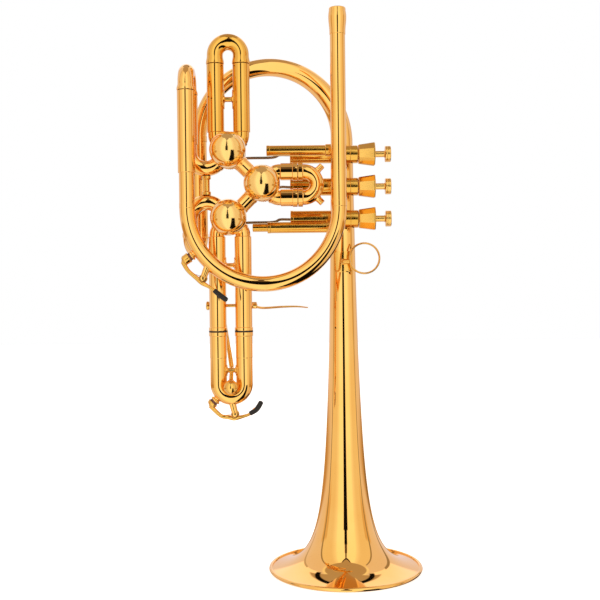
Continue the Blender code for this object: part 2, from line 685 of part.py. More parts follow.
def make_trigger():
    right_end = -0.0380
    left_end = -0.0796
    shaft_at = Vector((0, SHAFT_Y, SHAFT_Z))
    shift = Vector((CRANK_X, 0, 0))
    shaft = disc("trigger_shaft", 0.0013, left_end + 0.001, right_end, "X", shaft_at, 12)
    head = as_cutter(disc("shaft_head", 0.0036, left_end, left_end + 0.0038, "X", shaft_at, 16))
    direction = Vector((0, cos(radians(CRANK_SWING)), sin(radians(CRANK_SWING))))
    pin_at = shaft_at + direction * CRANK_R
    crank = as_cutter(swept("crank_arm", [shaft_at + shift, pin_at + shift], 0.0014, 10))
    pin = as_cutter(disc("crank_pin", 0.0009, CRANK_X - CRANK_PIN, CRANK_X + 0.001, "X", pin_at, 12))
    join(as_part(shaft), head, crank, pin)

    hub = disc("trigger_lever", 0.0027, -0.0432, -0.0384, "X", shaft_at)
    room = as_cutter(disc("shaft_room", 0.0013 + GAP, -0.06, -0.02, "X", shaft_at, 12))
    reach = [(-0.0400, 0.0022, -0.0012), (-0.0330, 0.0062, -0.0024), (-0.0180, 0.0120, -0.0018),
             (-0.0060, 0.0165, -0.0018), (0.0037, 0.0195, -0.0028)]
    knots = [shaft_at + Vector(spot) for spot in reach]
    blade = swept("lever_blade", knots, [0.0014, 0.0013, 0.0011, 0.0009, 0.0006], 10)
    return cut(join(as_part(hub), as_cutter(blade)), room)


def make_trigger_rod():
    """Link from the crank pin's slotted eye down to the third slide's lower brace."""
    swing_in = CRANK_R * cos(radians(CRANK_SWING))
    high = CRANK_R * sin(radians(CRANK_SWING))
    eye = Vector((CRANK_X - 0.0036, SHAFT_Y + (CRANK_R + swing_in) / 2, SHAFT_Z + high))
    foot = Vector((VALVE_X - 0.0004, PORT_Y + 0.0026, VALVES[3].z - 0.1223))
    knee = foot + Vector((-0.0006, 0.0085, 0.0040))
    points = [foot, knee, eye - Vector((0, 0, 0.0022))]
    rod = as_part(swept("trigger_rod", points, [0.0010, 0.0012, 0.0009], 10))
    frame = block("trigger_eye", eye - TRIGGER_EYE, eye + TRIGGER_EYE)
    slot = block("trigger_slot", eye - TRIGGER_SLOT, eye + TRIGGER_SLOT)
    return cut(join(rod, as_cutter(frame)), as_cutter(slot))


def make_water_key(number):
    hinge = key_point(number, "hinge")
    cup = key_point(number, "cup")
    seat = key_point(number, "seat")
    toward = (seat - cup).normalized()
    knots = [key_point(number, word) for word in ("cup", "bend", "under", "elbow", "tip")]
    lever = swept(f"water_key_{number}", knots, [0.0013, 0.0016, 0.0018, 0.0019, 0.0019], 10)
    as_part(lever, DARK_GOLD)
    hub = as_cutter(disc(f"key_hub_{number}", 0.0028, -0.0016, 0.0016, "-Y", hinge, 16))
    dish_ends = [cup - toward * 0.0010, cup + toward * 0.0012]
    dish = as_cutter(swept(f"key_cup_{number}", dish_ends, [0.0026, 0.0036], 14))
    pin_room = as_cutter(disc(f"key_bore_{number}", 0.0013, -0.01, 0.01, "-Y", hinge, 14))
    cut(join(lever, hub, dish), pin_room)
    cork_back = cup + toward * 0.0015
    cork_front = seat + (cup - seat).normalized() * 0.0009
    as_part(swept(f"water_key_{number}_cork", [cork_back, cork_front], 0.0031, 14), CORK)


def make_stays():
    upper = Vector((0, -0.0271, 0.3514))
    lower = Vector((0, -0.0255, 0.2890))
    bracket_left = 0.0232
    ends = [upper + Vector((-0.0291, 0, 0)), upper + Vector((bracket_left - GAP, 0, 0))]
    as_part(swept("upper_stay", ends, 0.0043), DARK_GOLD)
    steps = [(-0.0411, 0.0033), (-0.0291, 0.0033), (-0.0289, 0.0047), (bracket_left - GAP, 0.0047)]
    points = [lower + Vector((across, 0, 0)) for across, _ in steps]
    as_part(swept("lower_stay", points, [radius for _, radius in steps]), DARK_GOLD)
    bracket = block("barrel_bracket", (bracket_left, -0.0312, 0.2835), (0.0296, -0.0231, 0.3570), 0.0008)
    as_part(bracket, DARK_GOLD)

    post_z = VALVES[2].z
    post_x = 0.0268
    length = -0.0312 - GAP
    profile = [(0, 0.0560), (0.0036, 0.0560), (0.0036, 0.0505), (0.0021, 0.0490), (0.0021, 0.0345),
               (0.0036, 0.0330), (0.0036, -length), (0, -length)]
    post = turned("leadpipe_brace", profile, "-Y", (post_x, 0, post_z), 16, closed=False)
    as_part(post, DARK_GOLD)
    trim = disc("leadpipe_trim", TUBE_R + 0.0002, 0.25, 0.40, "Z", (LEAD_X, FRONT_Y, 0), 24)
    return cut(post, as_cutter(trim))


def make_finger_ring():
    """Ring for the little finger, on a saddle in front of the bell tube."""
    height = 0.2636
    centre = Vector((0.0508, -0.0112, height))
    section = [(0.0124 + 0.0010 * cos(radians(a)), 0.0021 * sin(radians(a))) for a in (90, 45, 0, -45, -90)]
    section += [(0.0119, -0.0019), (0.0117, 0), (0.0119, 0.0019)]
    hoop = as_part(turned("finger_ring", section, "-Y", centre, 24), DARK_GOLD)
    saddle_in = bell_radius(0.252) + GAP
    axis = Vector((BELL_X, BELL_Y, 0))
    saddle = ring("ring_saddle", saddle_in + 0.0011, saddle_in, 0.2520, 0.2700, "Z", axis, 32)
    back = block("saddle_trim", axis + Vector((-0.02, -0.0072, 0.24)), axis + Vector((0.02, 0.03, 0.28)))
    as_cutter(saddle)
    cut(saddle, as_cutter(back))
    stub_ends = [Vector((0.0348, -0.0099, 0.2610)), Vector((0.0387, -0.0112, 0.2612))]
    stub = swept("ring_stub", stub_ends, 0.0021, 12)
    return join(hoop, saddle, as_cutter(stub))


make_bell()
make_bell_bow()
make_return_bend()
make_main_bow()
make_leadpipe()
make_elbows()
make_valve_tube("valve_tube_12", 1, 2)
make_valve_tube("valve_tube_23", 2, 3)
for valve_number in VALVES:
    make_valve(valve_number)
    make_button(valve_number)
make_tuning_slide()
make_first_slide()
make_second_slide()
make_third_slide()
make_trigger()
make_trigger_rod()
make_stays()
make_finger_ring()
make_water_key(1)
make_water_key(2)
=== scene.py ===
"""The looks of the rotary-valve trumpet: smooth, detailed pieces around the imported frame."""
import json
from math import acos, cos, pi, radians, sin, sqrt

import bmesh
import bpy
from mathutils import Matrix, Vector


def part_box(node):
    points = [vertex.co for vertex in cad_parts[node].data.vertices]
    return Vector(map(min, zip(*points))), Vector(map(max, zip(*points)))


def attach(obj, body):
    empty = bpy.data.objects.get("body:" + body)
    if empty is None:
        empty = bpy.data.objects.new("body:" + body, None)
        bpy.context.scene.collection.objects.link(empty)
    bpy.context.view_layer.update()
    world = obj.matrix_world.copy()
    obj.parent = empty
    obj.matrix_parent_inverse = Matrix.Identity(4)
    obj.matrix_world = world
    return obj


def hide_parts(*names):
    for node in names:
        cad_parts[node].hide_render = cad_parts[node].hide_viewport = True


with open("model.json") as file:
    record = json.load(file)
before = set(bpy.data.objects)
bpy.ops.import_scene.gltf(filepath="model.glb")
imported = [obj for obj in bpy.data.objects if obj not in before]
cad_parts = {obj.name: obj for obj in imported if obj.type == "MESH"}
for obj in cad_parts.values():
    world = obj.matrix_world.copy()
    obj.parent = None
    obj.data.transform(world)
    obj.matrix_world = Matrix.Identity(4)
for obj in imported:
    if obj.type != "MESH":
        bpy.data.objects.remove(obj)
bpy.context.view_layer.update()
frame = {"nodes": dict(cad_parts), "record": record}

MM = 0.001
X, Y, Z = Vector((1, 0, 0)), Vector((0, 1, 0)), Vector((0, 0, 1))
SIDES = 56

# ---- places, read from the frame
def middle(node):
    lowest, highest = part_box(node)
    return (Vector(lowest) + Vector(highest)) / 2


def low(node):
    return Vector(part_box(node)[0])


def high(node):
    return Vector(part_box(node)[1])


BODY_OF = {}
for body, members in frame["record"]["behaviour"]["bodies"].items():
    for member in members:
        BODY_OF[member] = body

CASING_R = (high("valve_1_casing").x - low("valve_1_casing").x) / 2
CASING_FRONT = 9.2 * MM
VALVES = {}
for valve in (1, 2, 3):
    casing = middle(f"valve_{valve}_casing")
    VALVES[valve] = Vector((casing.x, low(f"valve_{valve}_casing").y + CASING_FRONT, casing.z))
PORT_Y = VALVES[1].y
VALVE_X = VALVES[1].x
BELL = middle("bell").xy
BELL_TOP = high("bell").z
RIM_R = (high("bell").x - low("bell").x) / 2
LEAD_X = middle("leadpipe").x
FRONT_Y = middle("leadpipe").y
BARREL_Y = middle("button_barrel_1").y
LEFT_X = middle("tuning_outer_leg_front").x
TAIL = middle("bell_tail").xy
RETURN_Z = high("return_bend").z

MAIN_BOW_Z = 302.7 * MM
LEFT_JOINT_Z = 330.8 * MM
LEADPIPE_Z = 303.2 * MM
RECEIVER_Z = 437.3 * MM

TUBE_R = 6.1 * MM
OUTER_LEG_R = 6.85 * MM
INNER_LEG_R = 5.6 * MM
HALF_GAP = 10.4 * MM
WALL = 0.7 * MM


def mm(rows):
    """Rows of millimetres, in metres."""
    return [tuple(value * MM for value in row) for row in rows]


# ---- shapes
def loft(rings, looped=False):
    """Skin through rings of points: closed flat at both ends, or running back to the first ring."""
    count = len(rings[0])
    faces = []
    for row in range(len(rings) if looped else len(rings) - 1):
        here, there = row * count, (row + 1) % len(rings) * count
        for index in range(count):
            after = (index + 1) % count
            faces.append((here + index, here + after, there + after, there + index))
    if not looped:
        faces.append(tuple(range(count))[::-1])
        faces.append(tuple((len(rings) - 1) * count + index for index in range(count)))
    return [spot for ring in rings for spot in ring], faces


def tangents(points):
    ways = []
    for index, point in enumerate(points):
        back = points[max(index - 1, 0)]
        ahead = points[min(index + 1, len(points) - 1)]
        ways.append((ahead - point).normalized() + (point - back).normalized())
        ways[-1].normalize()
    return ways


def section_rings(path, sides=SIDES, squash=1.0, up=None):
    """Rings square to a path of (point, radius) pairs, turning with it and never twisting."""
    points = [Vector(point) for point, _ in path]
    ways = tangents(points)
    normal = Vector(up) if up else ways[0].orthogonal()
    normal = (normal - ways[0] * normal.dot(ways[0])).normalized()
    rings = []
    for index, (point, way) in enumerate(zip(points, ways)):
        if index:
            normal = ways[index - 1].rotation_difference(way) @ normal
        side = way.cross(normal).normalized()
        radius = path[index][1]
        angles = [2 * pi * step / sides for step in range(sides)]
        rings.append([point + radius * (cos(a) * squash * normal + sin(a) * side) for a in angles])
    return rings


def bar(path, sides=SIDES, squash=1.0, up=None):
    return loft(section_rings(path, sides, squash, up))


def pipe(path, wall=WALL, sides=SIDES):
    """A hollow tube, open at both ends."""
    outer = section_rings(path, sides)
    inner = section_rings([(point, radius - wall) for point, radius in path], sides)
    return loft(outer + inner[::-1], looped=True)


def turned(profile, axis=Z, at=(0, 0, 0), steps=72, looped=False, turn=0.0):
    """A turned shape: (radius, height) pairs in millimetres round an axis."""
    side = Y if abs(axis.x) > 0.5 else X
    other = axis.cross(side)
    angles = [2 * pi * step / steps + turn for step in range(steps)]
    rings = []
    for radius, height in mm(profile):
        centre = Vector(at) + axis * height
        rings.append([centre + radius * (cos(a) * side + sin(a) * other) for a in angles])
    return loft(rings, looped)


def box_shell(lowest, highest):
    (a, b, c), (d, e, f) = lowest, highest
    rings = [[Vector((x, y, z)) for x, y in ((a, b), (d, b), (d, e), (a, e))] for z in (c, f)]
    return loft(rings)


def window(centre, half, hole, through):
    """A frame: a box of half sizes with a straight hole through one axis."""
    across = [index for index in range(3) if index != through]
    rings = []
    for size, side in ((half, -1), (half, 1), (hole, 1), (hole, -1)):
        ring = []
        for one, two in ((-1, -1), (1, -1), (1, 1), (-1, 1)):
            spot = Vector(centre)
            spot[across[0]] += one * size[across[0]]
            spot[across[1]] += two * size[across[1]]
            spot[through] += side * half[through]
            ring.append(spot)
        rings.append(ring)
    return loft(rings, looped=True)


def heading(degrees):
    """A direction in the instrument's own plane, in degrees from X towards Z."""
    return Vector((cos(radians(degrees)), 0, sin(radians(degrees))))


def arc(centre, radius, start, end, steps, side=X, up=Z):
    """Points on an arc, angles in degrees from side towards up."""
    angles = [radians(start + (end - start) * index / steps) for index in range(steps + 1)]
    return [Vector(centre) + radius * (cos(a) * Vector(side) + sin(a) * Vector(up)) for a in angles]


def curved(knots, steps=8):
    """A smooth line of (point, radius) pairs through a few knots."""
    spots = [Vector((*point, radius)) for point, radius in knots]
    spots = [2 * spots[0] - spots[1], *spots, 2 * spots[-1] - spots[-2]]
    path = []
    for a, b, c, d in zip(spots, spots[1:], spots[2:], spots[3:]):
        for index in range(steps):
            t = index / steps
            bend = 2 * a - 5 * b + 4 * c - d
            swing = 3 * b - a - 3 * c + d
            spot = 0.5 * (2 * b + (c - a) * t + bend * t * t + swing * t ** 3)
            path.append((spot.xyz, spot.w))
    path.append((spots[-2].xyz, spots[-2].w))
    return path


def rod(start, way, stations):
    """(point, radius) pairs on a straight line, from (distance, radius) pairs in millimetres."""
    return [(start + way * (along * MM), radius * MM) for along, radius in stations]


def dome(point, way, radius, depth, steps=5):
    """Path points that close a bar with a rounded end."""
    turns = [radians(90 * index / steps) for index in range(1, steps + 1)]
    return [(Vector(point) + Vector(way) * depth * sin(t), max(radius * cos(t), 1e-5)) for t in turns]


def saddle(centre, along, outward, leg_r, half_long, half_wrap, thick=0.5 * MM):
    """An oval plate soldered round a leg: a thin lens wrapped on the leg's surface."""
    along, outward = Vector(along), Vector(outward)
    aside = along.cross(outward)
    levels = [(1.0, -0.3), (1.0, 0.55), (0.93, 1.0), (0.5, 1.05), (0.0, 1.05)]
    rings = []
    for level, rise in [(0.0, -0.6), *levels]:
        ring = []
        for step in range(48):
            a = 2 * pi * step / 48
            wrap = level * half_wrap * sin(a) / leg_r
            radius = leg_r + rise * thick
            offset = radius * (cos(wrap) * outward + sin(wrap) * aside)
            ring.append(Vector(centre) + along * level * half_long * cos(a) + offset)
        rings.append(ring)
    return loft(rings)


def placed(name, data):
    """A new object in the scene."""
    item = bpy.data.objects.new(name, data)
    bpy.context.scene.collection.objects.link(item)
    return item


def piece(name, shells, finish, *nodes, body=None, bevel=0.0, slot="gold", sharp=32):
    """One named piece of closed shells, standing for the nodes given; its bevel is in millimetres."""
    mesh = bpy.data.meshes.new(name)
    shape = bmesh.new()
    for points, faces in shells:
        corners = [shape.verts.new(point) for point in points]
        for face in faces:
            shape.faces.new([corners[index] for index in face])
    bmesh.ops.remove_doubles(shape, verts=shape.verts, dist=1e-7)
    bmesh.ops.dissolve_degenerate(shape, edges=shape.edges, dist=1e-8)
    bmesh.ops.recalc_face_normals(shape, faces=shape.faces)
    shape.to_mesh(mesh)
    shape.free()
    item = placed(name, mesh)
    mesh.materials.append(finish)
    mesh.shade_smooth()
    if bevel:
        edge = item.modifiers.new("edges", "BEVEL")
        edge.width = bevel * MM
        edge.segments = 2
        edge.limit_method = "ANGLE"
        edge.angle_limit = radians(sharp)
        weighted = item.modifiers.new("normals", "WEIGHTED_NORMAL")
        weighted.mode = "FACE_AREA"
        weighted.weight = 60
    else:
        mesh.set_sharp_from_angle(angle=radians(sharp))
    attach(item, body or BODY_OF[nodes[0]])
    if nodes:
        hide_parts(*nodes)
    return item


# ---- materials
TONE, SPECKS, WIPING, RIPPLE = 38.0, 900.0, 420.0, 160.0
RIPPLE_STRENGTH = 0.006
RIPPLE_DEPTH = 0.04 * MM


def new_material(name):
    material = bpy.data.materials.new(name)
    material.use_nodes = True
    tree = material.node_tree
    return material, tree, tree.nodes["Principled BSDF"]


def add(tree, kind):
    return tree.nodes.new("ShaderNode" + kind)


def dial(node, values):
    """Sets a node's inputs by name."""
    for name, value in values.items():
        node.inputs[name].default_value = value


def texture(tree, scale, stretch=(1, 1, 1), kind="TexNoise", **values):
    """A procedural texture in the object's own metres, optionally stretched."""
    place = add(tree, "TexCoord")
    mapping = add(tree, "Mapping")
    dial(mapping, {"Scale": stretch})
    node = add(tree, kind)
    dial(node, {"Scale": scale, **values})
    tree.links.new(place.outputs["Object"], mapping.inputs["Vector"])
    tree.links.new(mapping.outputs["Vector"], node.inputs["Vector"])
    return node.outputs[0]


def spread(tree, source, lowest, highest, start=0.3, end=0.7):
    """Maps a texture value onto a range."""
    node = add(tree, "MapRange")
    node.interpolation_type = "SMOOTHSTEP"
    dial(node, {"From Min": start, "From Max": end, "To Min": lowest, "To Max": highest})
    tree.links.new(source, node.inputs["Value"])
    return node.outputs["Result"]


def blend_colours(tree, factor, one, two):
    node = add(tree, "Mix")
    node.data_type = "RGBA"
    tree.links.new(factor, node.inputs["Factor"])
    for socket, colour in (("A", one), ("B", two)):
        target = [item for item in node.inputs if item.name == socket and item.type == "RGBA"][0]
        if isinstance(colour, tuple):
            target.default_value = (*colour, 1.0)
        else:
            tree.links.new(colour, target)
    return [item for item in node.outputs if item.type == "RGBA"][0]


def bumped(tree, shader, source, strength, distance):
    bump = add(tree, "Bump")
    dial(bump, {"Strength": strength, "Distance": distance})
    tree.links.new(source, bump.inputs["Height"])
    tree.links.new(bump.outputs["Normal"], shader.inputs["Normal"])


def polished(name, pale, deep, smooth_at, dull_at, brushed=(1, 1, 1), coat=0.3):
    """Polished, lacquered metal: drifting tone, fine wiping marks and a faint ripple."""
    material, tree, shader = new_material(name)
    tone = spread(tree, texture(tree, TONE, Detail=3.0), 0.0, 1.0)
    colour = blend_colours(tree, tone, pale, deep)
    specks = texture(tree, SPECKS, Detail=2.0)
    specks = spread(tree, specks, 0.0, 1.0, 0.70, 0.80)
    darker = tuple(0.72 * value for value in deep)
    tree.links.new(blend_colours(tree, specks, colour, darker), shader.inputs["Base Color"])
    marks = texture(tree, WIPING, brushed, Detail=6.0, Roughness=0.7)
    tree.links.new(spread(tree, marks, smooth_at, dull_at), shader.inputs["Roughness"])
    dial(shader, {"Metallic": 1.0, "Coat Weight": coat, "Coat Roughness": 0.03})
    ripple = texture(tree, RIPPLE, brushed, Detail=1.5)
    bumped(tree, shader, ripple, RIPPLE_STRENGTH, RIPPLE_DEPTH)
    return material


def matt(name, pale, deep, scale, rough_from, rough_to, strength, distance):
    """A dull, grained material such as cork or rubber."""
    material, tree, shader = new_material(name)
    grain = texture(tree, scale, Detail=6.0, Roughness=0.65)
    colour = blend_colours(tree, spread(tree, grain, 0.0, 1.0), pale, deep)
    tree.links.new(colour, shader.inputs["Base Color"])
    tree.links.new(spread(tree, grain, rough_from, rough_to), shader.inputs["Roughness"])
    dial(shader, {"Specular IOR Level": 0.2})
    pores = texture(tree, scale * 1.6, kind="TexVoronoi")
    bumped(tree, shader, pores, strength, distance)
    return material


GOLD = polished("lacquered_gold", (1.0, 0.605, 0.185), (0.99, 0.57, 0.16), 0.02, 0.045)
RICH = polished("rich_gold", (0.90, 0.51, 0.105), (0.87, 0.48, 0.09), 0.02, 0.045)
SATIN = polished("satin_gold", (0.86, 0.48, 0.09), (0.80, 0.43, 0.07), 0.10, 0.17, (6, 1, 1))
BALL = polished("ball_gold", (1.0, 0.675, 0.255), (0.99, 0.645, 0.225), 0.10, 0.12)
FITTING = polished("gold_fittings", (0.91, 0.54, 0.135), (0.85, 0.48, 0.10), 0.08, 0.15, (1, 1, 6))
BRUSHED = polished("turned_gold", (0.95, 0.61, 0.20), (0.88, 0.52, 0.14), 0.12, 0.22, (8, 1, 1), 0.15)
# Painted reflection and shade: the steel's base colour is darkened and tinted brown to stand in for the
# dark and gold surroundings it mirrors, not the steel's own colour.
STEEL_WITH_PAINTED_REFLECTION = polished("steel_painted_dark_reflection", (0.34, 0.27, 0.21), (0.26, 0.20, 0.15), 0.12, 0.24, (1, 8, 8), 0.0)
CORK = matt("cork_pads", (0.235, 0.105, 0.075), (0.085, 0.034, 0.030), 900.0, 0.75, 0.95, 0.5, 0.2 * MM)
RUBBER = matt("black_rubber", (0.012, 0.011, 0.011), (0.028, 0.026, 0.026), 1500.0,
              0.38, 0.6, 0.25, 0.08 * MM)


# ---- bell and main tubing
BELL_POWER = 0.455
BELL_OFFSET = 0.003
BELL_SCALE = 0.1355 * MM ** BELL_POWER
BELL_WALL = 1.1 * MM
BEAD_R = 1.8 * MM
BEAD_START, BEAD_TURN = 118, 268
BOW_TAIL_R = 5.8 * MM


def bell_radius(height):
    return BELL_SCALE / (height + BELL_OFFSET) ** BELL_POWER


def make_bell():
    lowest = (BELL_SCALE / (RIM_R - 1.5 * BEAD_R)) ** (1 / BELL_POWER) - BELL_OFFSET
    steps = 90
    ratio = ((lowest + BELL_OFFSET) / (BELL_TOP + BELL_OFFSET)) ** (1 / steps)
    outer = [(BELL_TOP + BELL_OFFSET) * ratio ** index - BELL_OFFSET for index in range(steps + 1)]
    outer = [(bell_radius(height), height) for height in outer]
    inner = []
    for radius, height in outer:
        slope = BELL_POWER * radius / (height + BELL_OFFSET)
        length = sqrt(1 + slope * slope)
        inner.append((radius - BELL_WALL / length, max(0.0004, height - BELL_WALL * slope / length)))
    bead = []
    for step in range(19):
        angle = radians(BEAD_START - BEAD_TURN * step / 18)
        bead.append((RIM_R - BEAD_R + BEAD_R * cos(angle), max(0.0, BEAD_R * (1 + sin(angle)))))
    outline = [(radius / MM, height / MM) for radius, height in outer + bead + inner[::-1]]
    shell = turned(outline, Z, (*BELL, 0), 160, looped=True)
    piece("bell_flare", [shell], GOLD, "bell", sharp=40)


def ferrule(place, way, radius, length, rise):
    """A thin collar over a joint, with rounded lips; its length and rise are in millimetres."""
    half = length / 2
    radius /= MM
    inner, lip, outer = radius - 0.4, radius + rise * 0.6, radius + rise
    profile = [(inner, -half), (lip, -half), (outer, -half + 0.3), (outer, half - 0.3), (lip, half),
               (inner, half)]
    return turned(profile, Vector(way).normalized(), place, 64, looped=True)


def make_bell_bow():
    tail = Vector((TAIL.x, TAIL.y, BELL_TOP))
    top = Vector((BELL.x, BELL.y, BELL_TOP))
    centre = (top + tail) / 2
    reach = (top - tail) / 2
    steps = 96
    spots = arc(centre, 1.0, 0, 180, steps, reach, Z * reach.length)
    top_r = bell_radius(BELL_TOP)
    radii = [top_r + (BOW_TAIL_R - top_r) * (index / steps) ** 0.75 for index in range(steps + 1)]
    path = [(top - Z * 0.4 * MM, top_r - 0.05 * MM), *zip(spots, radii)]
    path.append((tail - Z * 0.4 * MM, BOW_TAIL_R))
    piece("bell_bow_tube", [bar(path, 72)], GOLD, "bell_bow")
    low_end = Vector((TAIL.x, TAIL.y, RETURN_Z - 0.4 * MM))
    run = [(low_end, TUBE_R), (low_end + Z * 2 * MM, TUBE_R), (tail, BOW_TAIL_R - 0.03 * MM)]
    shells = [bar(run), ferrule(tail - Z * 0.5 * MM, Z, BOW_TAIL_R, 5.0, 0.35)]
    piece("bell_tail_tube", shells, GOLD, "bell_tail", bevel=0.1)


def make_return_bend():
    one = Vector((LEFT_X, PORT_Y, RETURN_Z))
    two = Vector((TAIL.x, TAIL.y, RETURN_Z))
    reach = (two - one) / 2
    spots = arc((one + two) / 2 - Z * 0.6 * MM, 1.0, 180, 360, 48, reach, Z * reach.length)
    spots = [one + Z * 0.5 * MM, *spots, two + Z * 0.5 * MM]
    shells = [bar([(spot, TUBE_R) for spot in spots])]
    shells += [ferrule(spot - Z * 0.4 * MM, Z, TUBE_R, 3.6, 0.35) for spot in (one, two)]
    piece("return_bend_tube", shells, GOLD, "return_bend", bevel=0.1)


KEY = {
    1: dict(y=FRONT_Y, hinge=(-0.0787, 0.2480), base=(-0.0745, 0.2590), seat=(-0.0866, 0.2666),
            cup=(-0.0930, 0.2622), bend=(-0.0895, 0.2533), under=(-0.0796, 0.2447),
            elbow=(-0.0716, 0.2398), tip=(-0.0600, 0.2304)),
    2: dict(y=PORT_Y, hinge=(-0.0563, 0.1385), base=(-0.0589, 0.1490), seat=(-0.0715, 0.1503),
            cup=(-0.0752, 0.1466), bend=(-0.0672, 0.1368), under=(-0.0567, 0.1351),
            elbow=(-0.0458, 0.1372), tip=(-0.0345, 0.1484)),
}


def key_points(number, *names):
    """The points of a water key with these names."""
    spots = KEY[number]
    return [Vector((spots[name][0], spots["y"], spots[name][1])) for name in names]


def key_mount(number, centre):
    """Nipple with a lip, and the two hinge lugs with their screw, on the tube."""
    base, hinge, seat, cup = key_points(number, "base", "hinge", "seat", "cup")
    away = (cup - seat).normalized()
    path = [(centre, 2.4 * MM), *rod(seat, away, [(-1.4, 2.4), (-1.0, 2.9), (0.5, 2.9)])]
    shells = [bar(path, 32)]
    up = (hinge - base).normalized()
    for side in (-1, 1):
        inward = Y * side * 2.48 * MM
        shift = Y * side * 3.1 * MM
        lug = [(base + inward, 1.7 * MM), *rod(hinge + shift, up, [(-1.0, 1.4), (0.0, 1.4)])]
        shells.append(bar(lug, 24, 1.6, up=X))
        cheek = [(0.0, -0.8), (2.6, -0.8), (2.6, 0.8), (0.0, 0.8)]
        shells.append(turned(cheek, Y, hinge + shift, 40))
    rows = [(2.4, -3.2), (3.9, -2.9), (4.1, -2.5), (4.1, -2.0), (3.0, -1.6), (3.0, -0.2), (3.9, 0.2),
            (4.05, 0.5), (4.05, 1.2), (3.9, 1.5), (3.45, 1.5), (3.45, 0.3), (2.4, 0.0)]
    shells.append(turned(rows, away, seat, 48, looped=True))
    shells.append(turned([(0.9, -4.4), (0.9, 4.4)], Y, hinge, 24))
    head = [(0.0, -5.3), (1.5, -5.2), (2.0, -4.8), (2.0, -3.7), (0.0, -3.7)]
    shells.append(turned(head, Y, hinge, 32))
    return shells


def make_main_bow():
    centre = Vector(((LEAD_X + LEFT_X) / 2, FRONT_Y, MAIN_BOW_Z))
    radius = (LEAD_X - LEFT_X) / 2
    spots = arc(centre, radius, 0, -180, 128)
    spots = [spots[0] + Z * 0.9 * MM, *spots, Vector((LEFT_X, FRONT_Y, LEFT_JOINT_Z))]
    shells = [bar([(spot, TUBE_R) for spot in spots], 72)]
    seat_way = (key_points(1, "seat")[0] - centre).normalized()
    shells += key_mount(1, centre + seat_way * radius)
    shells.append(ferrule((LEFT_X, FRONT_Y, 0.3050), Z, TUBE_R, 4.0, 0.12))
    piece("main_bow_tube", shells, GOLD, "main_bow", bevel=0.12)


def make_leadpipe():
    foot = Vector((LEAD_X, FRONT_Y, LEADPIPE_Z))
    top = Vector((LEAD_X, FRONT_Y, RECEIVER_Z))
    shells = [bar([(foot, TUBE_R), (foot + Z * 0.01, TUBE_R), (top, TUBE_R - 0.15 * MM)], 72)]
    shells.append(ferrule(foot + Z * 2.4 * MM, Z, TUBE_R, 4.4, 0.16))
    piece("leadpipe_tube", shells, GOLD, "leadpipe", bevel=0.08)
    outer = [(6.15, 437.0), (6.25, 437.3), (6.28, 440.0), (6.55, 443.5), (6.88, 446.4), (7.03, 448.6),
             (7.08, 450.6), (7.0, 452.4), (6.78, 454.0), (6.6, 455.0), (6.55, 456.6), (6.42, 457.4),
             (6.1, 457.6)]
    inner = [(5.55, 457.4), (5.4, 456.6), (5.0, 438.0)]
    receiver = turned(outer + inner, Z, (LEAD_X, FRONT_Y, 0), 72, looped=True)
    piece("mouthpiece_socket", [receiver], GOLD, "mouthpiece_receiver", sharp=50)


def make_elbows():
    radius = 13.2 * MM
    middle_x = LEFT_X + radius
    drop = VALVE_X - middle_x - 2 * radius * sin(radians(45))
    upper = Vector((middle_x, PORT_Y, VALVES[1].z - drop))
    lower = Vector((middle_x, PORT_Y, VALVES[3].z + drop))
    inlet = arc(upper, radius, 315, 180, 48) + [Vector((LEFT_X, PORT_Y, 0.3557))]
    outlet = arc(lower, radius, 45, 180, 48) + [Vector((LEFT_X, PORT_Y, RETURN_Z - 0.2 * MM))]
    for name, spots, valve in (("inlet_elbow", inlet, 1), ("outlet_elbow", outlet, 3)):
        toward = (VALVES[valve] - spots[0]).normalized()
        entry = VALVES[valve] - toward * (CASING_R + 0.9 * MM)
        spots = [VALVES[valve] - toward * (CASING_R - 1.2 * MM), *spots]
        shells = [bar([(spot, TUBE_R) for spot in spots]), ferrule(entry, toward, TUBE_R, 2.2, 0.3)]
        piece(name + "_tube", shells, GOLD, name, bevel=0.1)
    bottom, top = low("elbow_post").z / MM - 0.4, high("elbow_post").z / MM + 0.4
    rows = [(3.7, 0.0), (3.7, 2.2), (3.3, 2.7), (2.8, 3.0)]
    profile = [(radius, bottom + rise) for radius, rise in rows]
    profile += [(radius, top - rise) for radius, rise in reversed(rows)]
    shell = turned(profile, Z, (middle_x, PORT_Y, 0), 48)
    piece("elbow_post_turned", [shell], FITTING, "elbow_post", bevel=0.15)


def make_valve_tubes():
    for name, start, end in (("valve_tube_12", 1, 2), ("valve_tube_23", 2, 3)):
        way = (VALVES[end] - VALVES[start]).normalized()
        inset = way * (CASING_R - 1.0 * MM)
        shells = [bar([(VALVES[start] + inset, TUBE_R), (VALVES[end] - inset, TUBE_R)])]
        shells += [ferrule(VALVES[start] + way * (CASING_R + 0.8 * MM), way, TUBE_R, 2.0, 0.3),
                   ferrule(VALVES[end] - way * (CASING_R + 0.8 * MM), way, TUBE_R, 2.0, 0.3)]
        piece(name + "_pipe", shells, GOLD, name, bevel=0.1)


# ---- valves
BALL_R, BALL_CENTRE, BALL_BACK = 14.45, 16.0, 9.5        # millimetres, as turned() takes them
PIN_REACH = 5.5 * MM


def gear_ring(inner, outer, depth, start, end, centre, teeth=48):
    """A ring whose outside is finely knurled."""
    count = teeth * 4
    rings = []
    corners = ((inner, start, 0), (outer, start, depth), (outer, end, depth), (inner, end, 0))
    for radius, height, cut in corners:
        ring = []
        for step in range(count):
            a = 2 * pi * step / count
            reach = radius - (cut if step % 4 in (2, 3) else 0)
            ring.append(Vector(centre) + Vector((reach * cos(a), height, reach * sin(a))))
        rings.append(ring)
    return loft(rings, looped=True)


